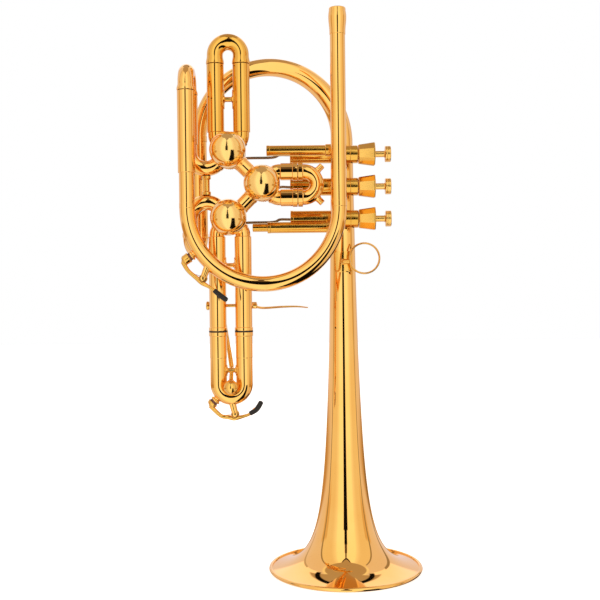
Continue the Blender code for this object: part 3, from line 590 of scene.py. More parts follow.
def make_valve(number):
    centre = VALVES[number]
    rows = [(11.0, -9.2), (12.5, -9.2), (12.75, -8.9), (12.75, -8.1), (12.5, -7.8), (12.4, -7.4),
            (12.4, 8.2), (12.75, 8.6), (12.75, 9.2), (12.4, 9.4), (12.4, 11.2), (12.0, 11.9),
            (11.2, 12.0), (11.0, 11.5), (5.4, 11.5), (5.2, 12.0), (3.4, 12.0), (3.4, 10.0),
            (10.9, 9.6), (10.9, -8.0)]
    casing = turned(rows, Y, centre, 96, looped=True)
    knurl = gear_ring(11.6 * MM, 12.78 * MM, 0.28 * MM, 9.6 * MM, 11.1 * MM, centre)
    piece(f"valve_{number}_housing", [casing, knurl], FITTING, f"valve_{number}_casing", bevel=0.12)

    turn = acos((BALL_BACK - BALL_CENTRE) / BALL_R)
    angles = [turn * index / 56 for index in range(57)]
    outer = [(BALL_R * sin(a), -BALL_CENTRE - BALL_R * cos(a)) for a in angles]
    lip = BALL_R * sin(turn)
    rim = [(lip - 0.25, -BALL_BACK + 0.18), (lip - 1.1, -BALL_BACK + 0.18)]
    inner = [(11.0, -BALL_BACK - 2.0), (9.0, -22.0), (0.0, -26.0)]
    ball = turned(outer + rim + inner, Y, centre, 128)
    piece(f"ball_cap_{number}_shell", [ball], BALL, f"ball_cap_{number}", sharp=45)
    make_rotor(number)


def make_rotor(number):
    """The spindle's screw with its slot, and the cam plate with the drive pin."""
    centre = VALVES[number]
    body = f"valve_rotor_{number}"
    materials = frame["nodes"][f"rotor_{number}"].data.materials
    materials.clear()
    materials.append(STEEL_WITH_PAINTED_REFLECTION)
    rows = [(0.0, 19.0), (2.2, 19.2), (2.5, 19.6), (2.5, 20.2), (2.1, 20.7), (0.0, 20.9)]
    screw = turned(rows, Y, centre, 40)
    low_corner = centre + Vector((-2.45 * MM, 20.55 * MM, -0.3 * MM))
    slot_bar = box_shell(low_corner, centre + Vector((2.45 * MM, 21.0 * MM, 0.3 * MM)))
    piece(f"spindle_screw_{number}", [screw, slot_bar], STEEL_WITH_PAINTED_REFLECTION, body=body, bevel=0.08, slot="steel")

    toward = heading(315)
    plate_at = centre + 1.4 * MM * toward
    rows = [(0.0, 16.9), (5.6, 16.9), (6.0, 17.2), (6.0, 19.3), (5.7, 19.7), (4.4, 19.7), (4.2, 19.45),
            (0.0, 19.45)]
    plate = turned(rows, Y, plate_at, 64)
    pin_at = centre + PIN_REACH * toward
    rows = [(0.0, 18.0), (1.0, 18.0), (1.0, 23.3), (1.6, 23.4), (1.6, 24.0), (1.2, 24.3), (0.0, 24.35)]
    pin = turned(rows, Y, pin_at, 32)
    stop = bar(rod(centre + Y * 17.9 * MM, heading(150), [(2.0, 1.3), (4.9, 1.1)]), 20)
    node = f"rotor_lever_{number}"
    piece(f"rotor_cam_{number}", [plate, pin, stop], STEEL_WITH_PAINTED_REFLECTION, node, bevel=0.1, slot="steel")


# ---- buttons
def ends(node):
    """A node's left and right ends, in millimetres."""
    return low(node).x / MM, high(node).x / MM


def make_button(number):
    row = Vector((0, BARREL_Y, VALVES[number].z))
    left, right = ends(f"button_barrel_{number}")
    rows = [(6.2, left), (7.1, left), (7.35, left + 0.3), (7.35, left + 2.2), (7.15, left + 2.5),
            (7.15, right - 6.4), (7.35, right - 6.1), (7.35, right - 0.3), (7.1, right), (6.2, right),
            (6.2, left + 1.5), (1.8, left + 1.5), (1.8, left + 0.2)]
    barrel = turned(rows, X, row, 72, looped=True)
    piece(f"barrel_{number}", [barrel], SATIN, f"button_barrel_{number}", bevel=0.1)

    left, right = ends(f"octagon_cap_{number}")
    rows = [(3.1, left), (7.5, left), (8.2, left + 0.7), (8.3, left + 1.2), (10.0, right - 1.2),
            (10.0, right - 0.4), (9.5, right), (6.4, right), (6.2, right - 0.7), (3.1, right - 0.7)]
    cap = turned(rows, X, row, 8, True, radians(22.5))
    piece(f"octagon_{number}", [cap], FITTING, f"octagon_cap_{number}", bevel=0.22, sharp=15)

    left, right = 68.2, ends(f"button_{number}")[1]
    rows = [(0.0, 30.0), (5.9, 30.0), (5.9, 44.0), (2.6, 44.0), (2.6, left - 1.0), (3.0, left - 0.3),
            (3.3, left), (6.25, left), (6.6, left + 0.35), (6.6, left + 1.5), (6.45, left + 1.7),
            (6.6, left + 1.9), (6.6, right - 0.4), (6.2, right), (5.0, right), (4.7, right - 0.25),
            (3.0, right - 0.3), (0.0, right - 0.2)]
    plunger = turned(rows, X, row, 64)
    piece(f"button_{number}_plunger", [plunger], BRUSHED, f"button_{number}", bevel=0.12)

    half = PIN_REACH * cos(radians(45))
    eye = row + Vector((VALVES[number].x + half, 0, -(half + PIN_REACH) / 2))
    knots = [(29.7, 0, 0), (10.0, 0, 0), (-10.0, 0, 0), (-19.0, 0, 0)]
    if number != 2:
        knots += [(-25.0, 0, -2.0), (-47.0, 0, -2.4)]
    route = [(row + Vector(knot), 1.1 * MM) for knot in mm(knots)]
    route += rod(eye, X, [(3.6, 1.1), (2.0, 1.3)])
    nut = rod(eye, X, [(4.6, 1.75), (2.6, 1.75)])
    holder = window(eye, *mm([(2.7, 1.2, 3.4), (1.4, 1.2, 2.2)]), 1)
    shells = [bar(curved(route, 6), 28), bar(nut, 6), holder]
    piece(f"link_{number}", shells, STEEL_WITH_PAINTED_REFLECTION, f"link_rod_{number}", bevel=0.18, slot="steel")


# ---- slides
def slide_frame(base, out, side):
    """Turns (along, across) in a slide's plane into points."""
    def place(along, across):
        return Vector(base) + Vector(out) * along + Vector(side) * across
    return place


def crook_path(place, stations, turn_at, half_gap):
    """Down one leg, round the turn and back up the other, as (point, radius) pairs."""
    one = [(place(along, -half_gap), radius) for along, radius in stations]
    two = [(place(along, half_gap), radius) for along, radius in reversed(stations)]
    crook_r = stations[-1][1]
    angles = [radians(180 - 180 * index / 56) for index in range(57)]
    turn = [(place(turn_at + half_gap * sin(a), half_gap * cos(a)), crook_r) for a in angles]
    return one + turn + two


def make_crook(name, place, stations, turn_at, half_gap, node, extras=(), finish=GOLD):
    shells = [bar(crook_path(place, stations, turn_at, half_gap)), *extras]
    return piece(name, shells, finish, node, bevel=0.16)


KNUCKLE_BEND = 8.0 * MM
KNUCKLE_START = 7.9 * MM


def outer_leg(place, across, stations, from_valve):
    """Shells of an outer leg: hollow, with its knuckle from the casing when it has one."""
    path = []
    shells = []
    if from_valve:
        sign = 1 if across > 0 else -1
        half_gap = abs(across)
        bend = KNUCKLE_BEND
        turn = bend * (sqrt(2) - 1)
        centre = (half_gap + turn, (half_gap - bend) * sign)
        start = KNUCKLE_START
        path.append((place(start, start * sign), TUBE_R))
        for index in range(17):
            angle = radians(45 - 45 * index / 16)
            spot = place(centre[0] - bend * sin(angle), centre[1] + sign * bend * cos(angle))
            path.append((spot, TUBE_R))
        way = path[1][0] - path[0][0]
        entry = place(0, 0) + way.normalized() * (CASING_R + 0.9 * MM)
        shells.append(ferrule(entry, way, TUBE_R, 2.2, 0.3))
    path += [(place(along, across), radius) for along, radius in stations]
    return [pipe(path), *shells]


def leg_steps(start, end, ring_length=0.0):
    """Stations of an outer leg, with a raised ring at its mouth when it has a length."""
    steps = [(start, TUBE_R), (start + 0.25 * MM, OUTER_LEG_R)]
    if ring_length:
        swell = OUTER_LEG_R + 0.5 * MM
        steps += [(end - ring_length, OUTER_LEG_R), (end - ring_length + 0.2 * MM, swell)]
        return steps + [(end - 0.25 * MM, swell), (end, swell - 0.15 * MM)]
    return steps + [(end - 0.2 * MM, OUTER_LEG_R), (end, OUTER_LEG_R - 0.1 * MM)]


def brace(place, along, half_gap, bar_r, foot_half, leg_r=OUTER_LEG_R):
    """A turned bar between two legs, with an oval plate soldered to each leg."""
    reach = half_gap - leg_r
    rows = [(reach - 1.1 * MM, bar_r), (reach - 0.5 * MM, bar_r * 1.6),
            (reach + 0.6 * MM, bar_r * 1.75)]
    rows = [(-across, radius) for across, radius in rows[::-1]] + [(0.0, bar_r)] + rows
    shells = [bar([(place(along, across), radius) for across, radius in rows], 36)]
    out = (place(1, 0) - place(0, 0)).normalized()
    side = (place(0, 1) - place(0, 0)).normalized()
    for sign in (-1, 1):
        foot = place(along, sign * half_gap)
        shells.append(saddle(foot, out, -sign * side, leg_r, foot_half, 4.6 * MM))
    return shells


def ringed(mouth, ring_end, ring_r, inner_start, next_r, shoulder=0.0):
    """Stations of a crook's inner leg and of the ring at its mouth, which slopes to the next radius."""
    steps = [(inner_start, INNER_LEG_R), (mouth + 0.3 * MM, INNER_LEG_R),
             (mouth + 0.45 * MM, ring_r - 0.15 * MM), (mouth + 0.65 * MM, ring_r), (ring_end, ring_r)]
    if not shoulder:
        return steps + [(ring_end + 0.2 * MM, ring_r - 0.2 * MM), (ring_end + 0.3 * MM, next_r)]
    for index in range(1, 9):
        share = index / 8
        ease = share * share * (3 - 2 * share)
        steps.append((ring_end + shoulder * share, ring_r + (next_r - ring_r) * ease))
    return steps


def make_tuning_slide():
    half_gap = (PORT_Y - FRONT_Y) / 2
    place = slide_frame((LEFT_X, (FRONT_Y + PORT_Y) / 2, 0), Z, Y)
    mouth = high("tuning_outer_leg_front").z
    lip = [(mouth - 0.2 * MM, OUTER_LEG_R), (mouth, OUTER_LEG_R - 0.1 * MM)]
    for word, across, start in (("front", -half_gap, 0.3306), ("back", half_gap, 0.3554)):
        steps = [(start, OUTER_LEG_R - 0.3 * MM), (start + 0.3 * MM, OUTER_LEG_R), *lip]
        node = f"tuning_outer_leg_{word}"
        shells = outer_leg(place, across, steps, False)
        piece(f"tuning_leg_{word}", shells, GOLD, node, bevel=0.1)
    stations = ringed(mouth, mouth + 1.6 * MM, 7.1 * MM, 0.3600, 6.25 * MM, 3.7 * MM)
    make_crook("tuning_slide_bow", place, stations, 0.4001, half_gap, "tuning_crook")


def make_first_slide():
    place = slide_frame(VALVES[1], Z, X)
    mouth = high("first_slide_outer_legs").z - VALVES[1].z
    shells = brace(place, 42.1 * MM, HALF_GAP, 2.0 * MM, 7.8 * MM)
    for across in (-HALF_GAP, HALF_GAP):
        shells += outer_leg(place, across, leg_steps(15.6 * MM, mouth), True)
    piece("first_slide_legs", shells, RICH, "first_slide_outer_legs", bevel=0.1)
    stations = ringed(mouth, mouth + 1.6 * MM, 7.2 * MM, 20.0 * MM, 6.45 * MM, 5.0 * MM)
    turn_at = 77.6 * MM
    make_crook("first_slide_bow", place, stations, turn_at, HALF_GAP, "first_slide_crook", finish=RICH)


def make_second_slide():
    place = slide_frame(VALVES[2], X, Z)
    mouth = high("second_slide_outer_leg_upper").x - VALVES[2].x
    for word, across in (("lower", -HALF_GAP), ("upper", HALF_GAP)):
        node = f"second_slide_outer_leg_{word}"
        shells = outer_leg(place, across, leg_steps(14.5 * MM, mouth, 4.0 * MM), True)
        piece(f"second_slide_leg_{word}", shells, GOLD, node, bevel=0.12)
    turn_at = 33.1 * MM
    crook_r = 5.9 * MM
    nubs = []
    for sign in (-1, 1):
        way = heading(45 * sign)
        reach = HALF_GAP + crook_r
        start = place(turn_at, 0)
        stations = [(-2.1, 3.1), (0.3, 2.8), (0.9, 2.5), (4.7, 2.5), (5.1, 2.2)]
        nubs.append(bar(rod(start + way * reach, way, stations), 36))
    stations = ringed(mouth, 32.2 * MM, 7.3 * MM, 16.0 * MM, crook_r) + [(33.0 * MM, crook_r)]
    make_crook("second_slide_bow", place, stations, turn_at, HALF_GAP, "second_slide_crook", nubs)


SHAFT = Vector((0, PORT_Y + 10.6 * MM, 0.2258))
CRANK_R = 12.0 * MM
CRANK_SWING = 38.0
CRANK_X = -65.0 * MM
KNOB_R = 5.9        # millimetres, as turned() takes them


def make_third_slide():
    place = slide_frame(VALVES[3], -Z, X)
    mouth = VALVES[3].z - low("third_slide_outer_legs").z
    shells = brace(place, 37.6 * MM, HALF_GAP, 1.8 * MM, 6.5 * MM)
    for sign in (-1, 1):
        stations = leg_steps(14.5 * MM, mouth - 0.6 * MM, 2.8 * MM)
        shells += outer_leg(place, sign * HALF_GAP, stations, True)
        at = SHAFT + X * (VALVE_X + sign * HALF_GAP)
        rows = [(1.6, -1.9), (2.6, -1.9), (2.9, -1.6), (2.9, 1.6), (2.6, 1.9), (1.6, 1.9)]
        shells.append(turned(rows, X, at, 40, looped=True))
        foot = rod(at, Y, [(-7.0, 2.6), (-3.6, 1.7), (-2.3, 1.5)])
        shells.append(bar(foot, 28, 0.8, up=X))
        plate_at = place(VALVES[3].z - SHAFT.z, sign * HALF_GAP)
        shells.append(saddle(plate_at, Z, Y, OUTER_LEG_R, 6.0 * MM, 4.2 * MM))
    piece("third_slide_legs", shells, GOLD, "third_slide_outer_legs", bevel=0.12)

    parent = BODY_OF["third_slide_outer_legs"]
    for word, sign in (("left", -1), ("right", 1)):
        rows = [(5.75, -0.7), (7.2, -0.7), (7.35, -0.55), (7.35, 0.35), (7.2, 0.5), (5.75, 0.5)]
        bumper = turned(rows, -Z, place(mouth, sign * HALF_GAP), 64, looped=True)
        piece(f"third_slide_bumper_{word}", [bumper], RUBBER, body=parent, slot=None)

    turn_at = 133.2 * MM
    crook_r = 6.7 * MM
    turn_centre = place(turn_at, 0)
    away = (key_points(2, "seat")[0] - turn_centre).normalized()
    stations = ringed(mouth, 94.3 * MM, 7.35 * MM, 40.0 * MM, OUTER_LEG_R)
    stations += [(111.9 * MM, OUTER_LEG_R), (112.1 * MM, crook_r), (133.0 * MM, crook_r)]
    extras = key_mount(2, turn_centre + away * HALF_GAP)
    make_crook("third_slide_bow", place, stations, turn_at, HALF_GAP, "third_slide_crook", extras)

    shells = brace(place, 122.3 * MM, HALF_GAP, 1.9 * MM, 4.6 * MM, crook_r)
    ball_at = place(135.1 * MM, 0) - Y * 10.0 * MM
    angles = [pi * index / 32 for index in range(33)]
    shells.append(turned([(KNOB_R * sin(a), KNOB_R * cos(a)) for a in angles], Z, ball_at, 64))
    stem = place(122.8 * MM, 0)
    neck = [(ball_at.lerp(stem, 0.30), 2.6 * MM), (ball_at.lerp(stem, 0.40), 2.4 * MM),
            (ball_at.lerp(stem, 0.46), 1.7 * MM), (ball_at.lerp(stem, 0.9), 1.6 * MM), (stem, 1.9 * MM)]
    shells.append(bar(neck, 28))
    piece("third_slide_stay", shells, FITTING, "third_slide_lower_brace", bevel=0.1)


def make_trigger():
    left, right = ends("trigger_shaft")
    rows = [(0.0, left), (2.9, left), (3.6, left + 0.6), (3.6, left + 2.0), (3.2, left + 2.2),
            (3.2, left + 3.8), (1.3, left + 3.9), (1.3, right - 0.2), (1.1, right), (0.0, right)]
    shells = [turned(rows, X, SHAFT, 40)]
    way = Vector((0, cos(radians(CRANK_SWING)), sin(radians(CRANK_SWING))))
    pin_at = SHAFT + way * CRANK_R
    shift = X * CRANK_X
    arm = rod(SHAFT + shift, way, [(-0.5, 2.4), (2.6, 2.0), (5.5, 1.4), (12.0, 1.5), (13.2, 1.1)])
    shells.append(bar(arm, 28, 0.62, up=X))
    pin = [(0.0, -5.2), (0.9, -5.2), (0.9, 0.8), (1.3, 0.8), (1.3, 1.2), (0.0, 1.2)]
    shells.append(turned(pin, X, pin_at + shift, 24))
    piece("trigger_axle", shells, FITTING, "trigger_shaft", bevel=0.12)

    hub = [(1.5, -43.2), (2.5, -43.2), (2.8, -42.8), (2.8, -38.8), (2.5, -38.4), (1.5, -38.4)]
    hub = turned(hub, X, SHAFT, 40, looped=True)
    reach = [(-40.4, 2.0, -1.0), (-33.0, 6.2, -2.4), (-18.0, 12.0, -1.8), (-6.0, 16.5, -1.8),
             (3.4, 19.4, -2.8)]
    radii = [1.8, 1.6, 1.45, 1.2, 0.8]
    knots = [(SHAFT + Vector(spot) * MM, radius * MM) for spot, radius in zip(reach, radii)]
    blade = bar(curved(knots, 10), 32, 0.62, up=Z)
    piece("trigger_blade", [hub, blade], GOLD, "trigger_lever", bevel=0.1)

    swing_in = CRANK_R * cos(radians(CRANK_SWING))
    rise = CRANK_R * sin(radians(CRANK_SWING))
    eye = Vector((CRANK_X - 3.6 * MM, SHAFT.y + (CRANK_R + swing_in) / 2, SHAFT.z + rise))
    foot = Vector((VALVE_X - 0.4 * MM, PORT_Y + 2.6 * MM, VALVES[3].z - 122.3 * MM))
    knee = foot + Vector((-0.6, 8.5, 4.0)) * MM
    knots = [(foot - Y * 1.2 * MM, 1.5 * MM), (foot + Vector((-0.1, 4.5, 0.5)) * MM, 1.6 * MM),
             (knee, 1.9 * MM), (knee.lerp(eye, 0.35), 1.55 * MM), (knee.lerp(eye, 0.7), 1.2 * MM),
             *rod(eye, -Z, [(5.0, 1.0), (2.2, 0.95)])]
    holder = window(eye, *mm([(1.1, 3.6, 2.6), (1.1, 2.5, 1.4)]), 0)
    nut = bar(rod(eye, -Z, [(5.4, 1.55), (3.4, 1.55)]), 6)
    shells = [bar(curved(knots, 8), 28, 0.7, up=Y), holder, nut]
    piece("trigger_link", shells, FITTING, "trigger_rod", bevel=0.15)


# ---- small fittings
def make_stays():
    right = ends("barrel_bracket")[0] + 0.4
    left = ends("upper_stay")[0]
    rows = [(left, 4.1), (left + 0.2, 4.3), (left + 2.4, 4.3), (left + 2.6, 4.15), (right - 5.0, 4.15),
            (right - 4.6, 4.9), (right, 4.9)]
    shell = bar(rod(Vector((0, -27.1, 351.4)) * MM, X, rows), 48)
    piece("upper_stay_tube", [shell], SATIN, "upper_stay", bevel=0.12)
    left = ends("lower_stay")[0]
    step = -29.1
    rows = [(left, 3.0), (left + 0.3, 3.3), (step, 3.3), (step + 0.2, 4.7), (step + 2.4, 4.7),
            (step + 2.6, 4.5), (right - 4.4, 4.5), (right - 4.0, 5.2), (right, 5.2)]
    shell = bar(rod(Vector((0, -25.5, 289.0)) * MM, X, rows), 48)
    piece("lower_stay_tube", [shell], SATIN, "lower_stay", bevel=0.12)

    start, end = low("barrel_bracket"), high("barrel_bracket")
    shells = [box_shell(start, end)]
    for valve in VALVES.values():
        at = Vector(((start.x + end.x) / 2, (start.y + end.y) / 2, valve.z))
        shells.append(turned([(4.0, -4.6), (4.0, 4.6)], Y, at, 40))
    piece("barrel_bridge", shells, FITTING, "barrel_bracket", bevel=0.7)

    at = Vector((26.8 * MM, 0, VALVES[2].z))
    rows = [(3.6, -57.4), (3.6, -51.0), (3.2, -50.2), (2.1, -49.0), (2.1, -34.6), (3.2, -33.5),
            (3.6, -33.0), (3.6, -31.0)]
    shells = [turned(rows, Y, at, 48)]
    bead = [(2.1, -43.6), (3.0, -43.0), (3.3, -41.9), (3.0, -40.8), (2.1, -40.2)]
    shells.append(turned(bead, Y, at, 48))
    piece("leadpipe_post", shells, FITTING, "leadpipe_brace", bevel=0.12)


def make_finger_ring():
    centre = Vector((50.8, -11.2, 263.6)) * MM
    angles = [2 * pi * step / 28 for step in range(28)]
    section = [(12.5 + 0.85 * cos(a), 2.05 * sin(a)) for a in angles]
    shells = [turned(section, Y, centre, 96, looped=True)]
    inner_r = bell_radius(0.252) + 0.2 * MM
    rings = []
    plate = ((252.3, 0.2), (252.3, 1.1), (254.0, 1.3), (268.0, 1.3), (269.7, 1.1), (269.7, 0.2))
    for height, reach in plate:
        pull = sqrt(max(0.0, 1 - ((height - 261.0) / 12.5) ** 2))
        ring = []
        for step in range(25):
            a = radians(-90 + (step / 12 - 1) * 44 * pull)
            radius = inner_r + reach * MM
            ring.append(Vector((BELL.x + radius * cos(a), BELL.y + radius * sin(a), height * MM)))
        rings.append(ring)
    shells.append(loft(rings, looped=True))
    rows = [(33.6, -8.6, 261.0, 3.0), (34.4, -9.8, 261.0, 2.4), (36.2, -10.7, 261.1, 2.1),
            (38.5, -11.2, 261.2, 2.3)]
    stub = [(Vector(spot), radius) for *spot, radius in mm(rows)]
    shells.append(bar(curved(stub, 6), 32))
    piece("little_finger_ring", shells, FITTING, "finger_ring", bevel=0.1)


def make_water_key(number):
    hinge, seat, cup = key_points(number, "hinge", "seat", "cup")
    bend, under, elbow, tip = key_points(number, "bend", "under", "elbow", "tip")
    toward = (seat - cup).normalized()
    body = BODY_OF[f"water_key_{number}"]
    knots = [(cup - toward * 1.6 * MM, 2.3 * MM), (cup.lerp(bend, 0.5) - toward * 1.2 * MM, 2.0 * MM),
             (bend, 1.9 * MM), (bend.lerp(under, 0.55), 2.1 * MM), (under, 2.3 * MM),
             (under.lerp(elbow, 0.6), 1.6 * MM), (elbow.lerp(tip, 0.1), 1.4 * MM),
             (elbow.lerp(tip, 0.5), 1.3 * MM)]
    lever = bar(curved(knots, 8), 32, 0.85, up=toward)
    skirt = (seat - cup).length / MM - 3.3
    rows = [(0.0, -2.6), (1.1, -2.5), (1.5, -2.1), (1.5, -1.7), (2.9, -1.3), (3.7, -0.5), (4.0, 0.4),
            (4.0, skirt - 0.9), (4.2, skirt - 0.7), (4.2, skirt - 0.1), (4.05, skirt), (3.5, skirt),
            (3.4, 0.6), (0.0, 0.6)]
    dish = turned(rows, toward, cup, 48)
    rows = [(1.3, -1.7), (3.0, -1.7), (3.3, -1.4), (3.3, 1.4), (3.0, 1.7), (1.3, 1.7)]
    hub = turned(rows, Y, hinge, 40, looped=True)
    piece(f"key_{number}_lever", [lever, dish, hub], FITTING, f"water_key_{number}", bevel=0.1)

    way = (tip - elbow).normalized()
    sag = Vector((way.z, 0, -way.x)) * (1.3 * MM if number == 2 else 0.2 * MM)
    start = elbow.lerp(tip, 0.12)
    end = tip - way * 1.4 * MM
    sleeve = curved([(start, 1.85 * MM), (start.lerp(end, 0.5) + sag, 2.1 * MM), (end, 2.0 * MM)], 10)
    first_way = (sleeve[1][0] - sleeve[0][0]).normalized()
    last_way = (sleeve[-1][0] - sleeve[-2][0]).normalized()
    sleeve.insert(0, (start - first_way * 0.2 * MM, 1.5 * MM))
    sleeve += dome(end, last_way, 2.0 * MM, 1.4 * MM)
    piece(f"key_{number}_tip", [bar(sleeve, 36)], RUBBER, body=body, slot=None)

    back = cup + toward * 0.7 * MM
    depth = (seat - toward * 0.9 * MM - back).length / MM
    rows = [(0.0, 0.0), (3.0, 0.0), (3.1, 0.3), (3.25, depth * 0.5), (3.15, depth - 0.4), (2.7, depth),
            (0.0, depth)]
    cork = turned(rows, toward, back, 40)
    piece(f"key_{number}_pad", [cork], CORK, f"water_key_{number}_cork", slot="cork")
    make_spring(number, hinge, bend)


def make_spring(number, hinge, bend):
    """A torsion spring beside the hub, with one leg along the lever."""
    turns = 3
    steps = 20
    path = []
    for step in range(turns * steps + 1):
        a = 2 * pi * step / steps
        along = 1.9 * MM + 0.36 * MM * step / steps
        path.append((hinge + Vector((3.0 * MM * cos(a), along, 3.0 * MM * sin(a))), 0.22 * MM))
    path.append((hinge.lerp(bend, 0.7) + Y * 2.4 * MM, 0.22 * MM))
    parent = BODY_OF["main_bow"] if number == 1 else BODY_OF["third_slide_crook"]
    piece(f"key_{number}_spring", [bar(path, 10)], STEEL_WITH_PAINTED_REFLECTION, body=parent, slot="steel")


make_bell()
make_bell_bow()
make_return_bend()
make_main_bow()
make_leadpipe()
make_elbows()
make_valve_tubes()
for valve_number in VALVES:
    make_valve(valve_number)
    make_button(valve_number)
make_tuning_slide()
make_first_slide()
make_second_slide()
make_third_slide()
make_trigger()
make_stays()
make_finger_ring()
make_water_key(1)
make_water_key(2)


# ---- studio
FLOOR_SIZE = 6.0
FLOOR_GLOW = 0.62
LIGHT_AT = Vector((-0.9, -1.3, 1.4))
LIGHT_AIM = Vector((0, 0, 0.2))
LIGHT_SIZE = (1.2, 1.6)
LIGHT_POWER = 6.0
CAMERA_AT = Vector((-0.0031, -0.8273, 0.246))
CAMERA_LENS = 58.85
CAMERA_PITCH = -1.165
CAMERA_ROLL = -0.6


def make_floor():
    mesh = bpy.data.meshes.new("studio_floor")
    half = FLOOR_SIZE / 2
    corners = [(-half, -half, 0), (half, -half, 0), (half, half, 0), (-half, half, 0)]
    mesh.from_pydata(corners, [], [(0, 1, 2, 3)])
    item = placed("studio_floor", mesh)
    item.location.z = -0.1 * MM
    item.visible_glossy = False
    material, tree, shader = new_material("pale_floor")
    tone = spread(tree, texture(tree, 3.0), 0.0, 1.0)
    colour = blend_colours(tree, tone, (0.92, 0.92, 0.92), (0.90, 0.90, 0.90))
    tree.links.new(colour, shader.inputs["Base Color"])
    dial(shader, {"Roughness": 0.9, "Specular IOR Level": 0.0})
    dial(shader, {"Emission Color": (1, 1, 1, 1), "Emission Strength": FLOOR_GLOW})
    mesh.materials.append(material)


class Sky:
    """The white studio seen in the metal, drawn over direction in degrees from the camera's side."""

    def __init__(self):
        world = bpy.data.worlds.new("studio")
        bpy.context.scene.world = world
        world.use_nodes = True
        self.tree = world.node_tree
        self.tree.nodes.clear()
        place = add(self.tree, "TexCoord")
        split = add(self.tree, "SeparateXYZ")
        self.tree.links.new(place.outputs["Generated"], split.inputs["Vector"])
        x, y, z = (split.outputs[axis] for axis in "XYZ")
        front = self.math("MULTIPLY", y, -1.0)
        self.turn = self.math("MULTIPLY", self.math("ARCTAN2", x, front), 180 / pi)
        self.rise = self.math("MULTIPLY", self.math("ARCSINE", z), 180 / pi)
        self.aside = self.math("ABSOLUTE", self.turn)

    def math(self, operation, one, two=None):
        node = add(self.tree, "Math")
        node.operation = operation
        for index, value in enumerate((one, two)):
            if value is None:
                continue
            if isinstance(value, (int, float)):
                node.inputs[index].default_value = value
            else:
                self.tree.links.new(value, node.inputs[index])
        return node.outputs[0]

    def times(self, one, two):
        return self.math("MULTIPLY", one, two)

    def between(self, value, start, end, soft):
        """1 from start to end, fading to 0 over soft degrees outside."""
        rising = spread(self.tree, value, 0.0, 1.0, start - soft, start)
        falling = spread(self.tree, value, 1.0, 0.0, end, end + soft)
        return self.times(rising, falling)

    def patch(self, around, turns, rises, soft=2.0):
        """A patch of directions, from turns[0] to turns[1] and rises[0] to rises[1]."""
        one = self.between(around, turns[0], turns[1], soft)
        two = self.between(self.rise, rises[0], rises[1], soft)
        return self.times(one, two)

    def paint(self, base, patches):
        """Lays (patch, colour) pairs over a base colour."""
        colour = base
        for mask, tone in patches:
            colour = blend_colours(self.tree, mask, colour, tone)
        return colour

    def show(self, colour, strength):
        """The metal reflects the studio; the camera itself sees plain white behind the object."""
        glow = add(self.tree, "Background")
        dial(glow, {"Strength": strength})
        self.tree.links.new(colour, glow.inputs["Color"])
        plain = add(self.tree, "Background")
        dial(plain, {"Color": (1, 1, 1, 1)})
        path = add(self.tree, "LightPath")
        mix = add(self.tree, "MixShader")
        output = add(self.tree, "OutputWorld")
        self.tree.links.new(path.outputs["Is Camera Ray"], mix.inputs["Fac"])
        self.tree.links.new(glow.outputs[0], mix.inputs[1])
        self.tree.links.new(plain.outputs[0], mix.inputs[2])
        self.tree.links.new(mix.outputs[0], output.inputs["Surface"])


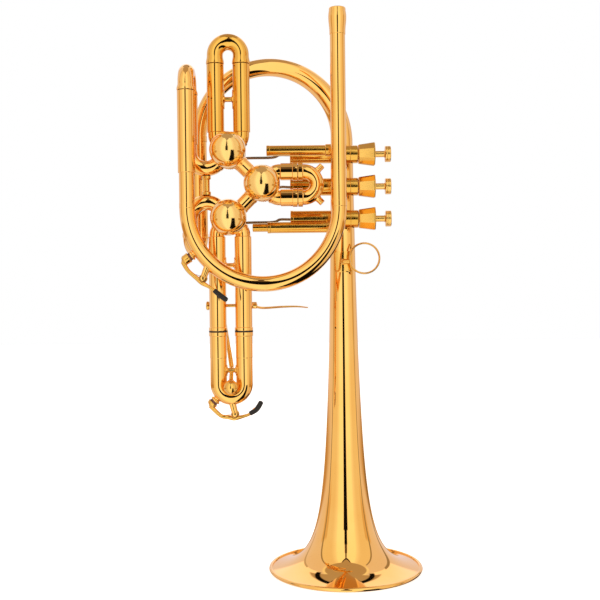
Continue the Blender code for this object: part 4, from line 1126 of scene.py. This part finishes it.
def make_sky():
    sky = Sky()
    patch, between, times = sky.patch, sky.between, sky.times
    turn, rise, aside = sky.turn, sky.rise, sky.aside
    black = (0.006, 0.005, 0.004)
    brown = (0.13, 0.09, 0.06)
    seam = (0.36, 0.29, 0.22)
    side_seam = (0.60, 0.50, 0.44)
    dim = (0.92, 0.80, 0.62)
    edging = (0.56, 0.33, 0.12)
    faint_edging = (0.78, 0.56, 0.32)
    side = (0.86, 0.76, 0.80)
    ceiling = (0.50, 0.39, 0.30)
    bright = (1.20, 1.16, 0.98)
    rear = (1.22, 1.10, 1.12)
    lift = sky.math("MAXIMUM", rise, 0.0)
    sink = sky.math("MINIMUM", sky.math("SUBTRACT", rise, 5.0), 0.0)

    # the dark leaf lies outside an oval window low on the right
    centre = sky.math("SUBTRACT", 82.0, times(lift, 0.15))
    half = sky.math("ADD", 38.0, times(lift, 0.3))
    across = sky.math("DIVIDE", sky.math("SUBTRACT", turn, centre), half)
    down = sky.math("DIVIDE", sink, 56.0)
    across = sky.math("POWER", sky.math("ABSOLUTE", across), 2.0)
    distance = sky.math("SQRT", sky.math("ADD", across, times(down, down)))
    outside = spread(sky.tree, distance, 0.0, 1.0, 0.96, 1.04)
    leaf = times(outside, patch(turn, (25, 147), (-75, -9), 2.5))

    # the front panels are rounded at the top, so the ceiling dips between them
    dip = spread(sky.tree, aside, 55.0, 66.0, 0.0, 26.0)
    above = sky.math("SUBTRACT", rise, dip)
    roof = spread(sky.tree, above, 0.0, 1.0, -0.8, 0.8)
    apex = times(between(above, 0, 2.5, 1.0), between(aside, -1, 15, 4.0))

    # the back wall's upper edge climbs towards the sides
    edge = sky.math("ADD", rise, times(sky.math("SUBTRACT", aside, 180.0), 0.32))
    back = times(between(edge, 17, 43, 3.0), between(aside, 139, 200, 2.0))
    back_edge = times(between(edge, 45, 48, 1.5), between(aside, 143, 177, 4.0))
    patches = [
        (patch(aside, (6, 30), (-90, 62), 12.0), bright),
        (patch(aside, (55, 88), (-90, 62), 16.0), dim),
        (patch(aside, (89, 200), (-90, 62), 2.0), side),
        (patch(aside, (77, 93), (1, 14), 5.0), faint_edging),
        (patch(aside, (72, 200), (-14, -7), 3.0), edging),
        (back, rear),
        (roof, ceiling),
        (patch(aside, (150, 200), (50, 66), 3.0), ceiling),
        (back_edge, black),
        (patch(aside, (86, 89), (-75, 60), 2.0), seam),
        (patch(turn, (136, 140), (-10, 42), 2.0), seam),
        (patch(turn, (-140, -137), (0, 42), 1.5), side_seam),
        (leaf, black),
        (patch(turn, (-5.0, 2.6), (29, 43), 0.8), brown),
        (patch(turn, (-3.4, 1.0), (42, 56), 0.8), brown),
        (apex, black),
        (patch(turn, (-5.8, 3.4), (14, 29), 0.8), black),
        (patch(turn, (-8.8, 6.2), (-12, 15), 0.8), black),
    ]
    sky.show(sky.paint((1.0, 0.94, 0.80), patches), 1.0)


def make_lights():
    """One large soft light over the front left, for the dull parts and the floor's shadow."""
    light = bpy.data.lights.new("soft_key", "AREA")
    light.shape = "RECTANGLE"
    light.size, light.size_y = LIGHT_SIZE
    light.energy = LIGHT_POWER
    item = placed("soft_key", light)
    item.location = LIGHT_AT
    item.rotation_euler = (LIGHT_AIM - LIGHT_AT).to_track_quat("-Z", "Y").to_euler()
    item.visible_glossy = False


def make_camera():
    camera = bpy.data.cameras.new("camera")
    camera.lens = CAMERA_LENS
    camera.sensor_width = 36.0
    camera.clip_start = 0.01
    item = placed("camera", camera)
    pitch = Matrix.Rotation(radians(90 + CAMERA_PITCH), 4, "X")
    roll = Matrix.Rotation(radians(CAMERA_ROLL), 4, "Z")
    item.matrix_world = Matrix.Translation(CAMERA_AT) @ pitch @ roll
    bpy.context.scene.camera = item


make_floor()
make_sky()
make_lights()
make_camera()
bpy.context.scene.view_settings.view_transform = "Standard"
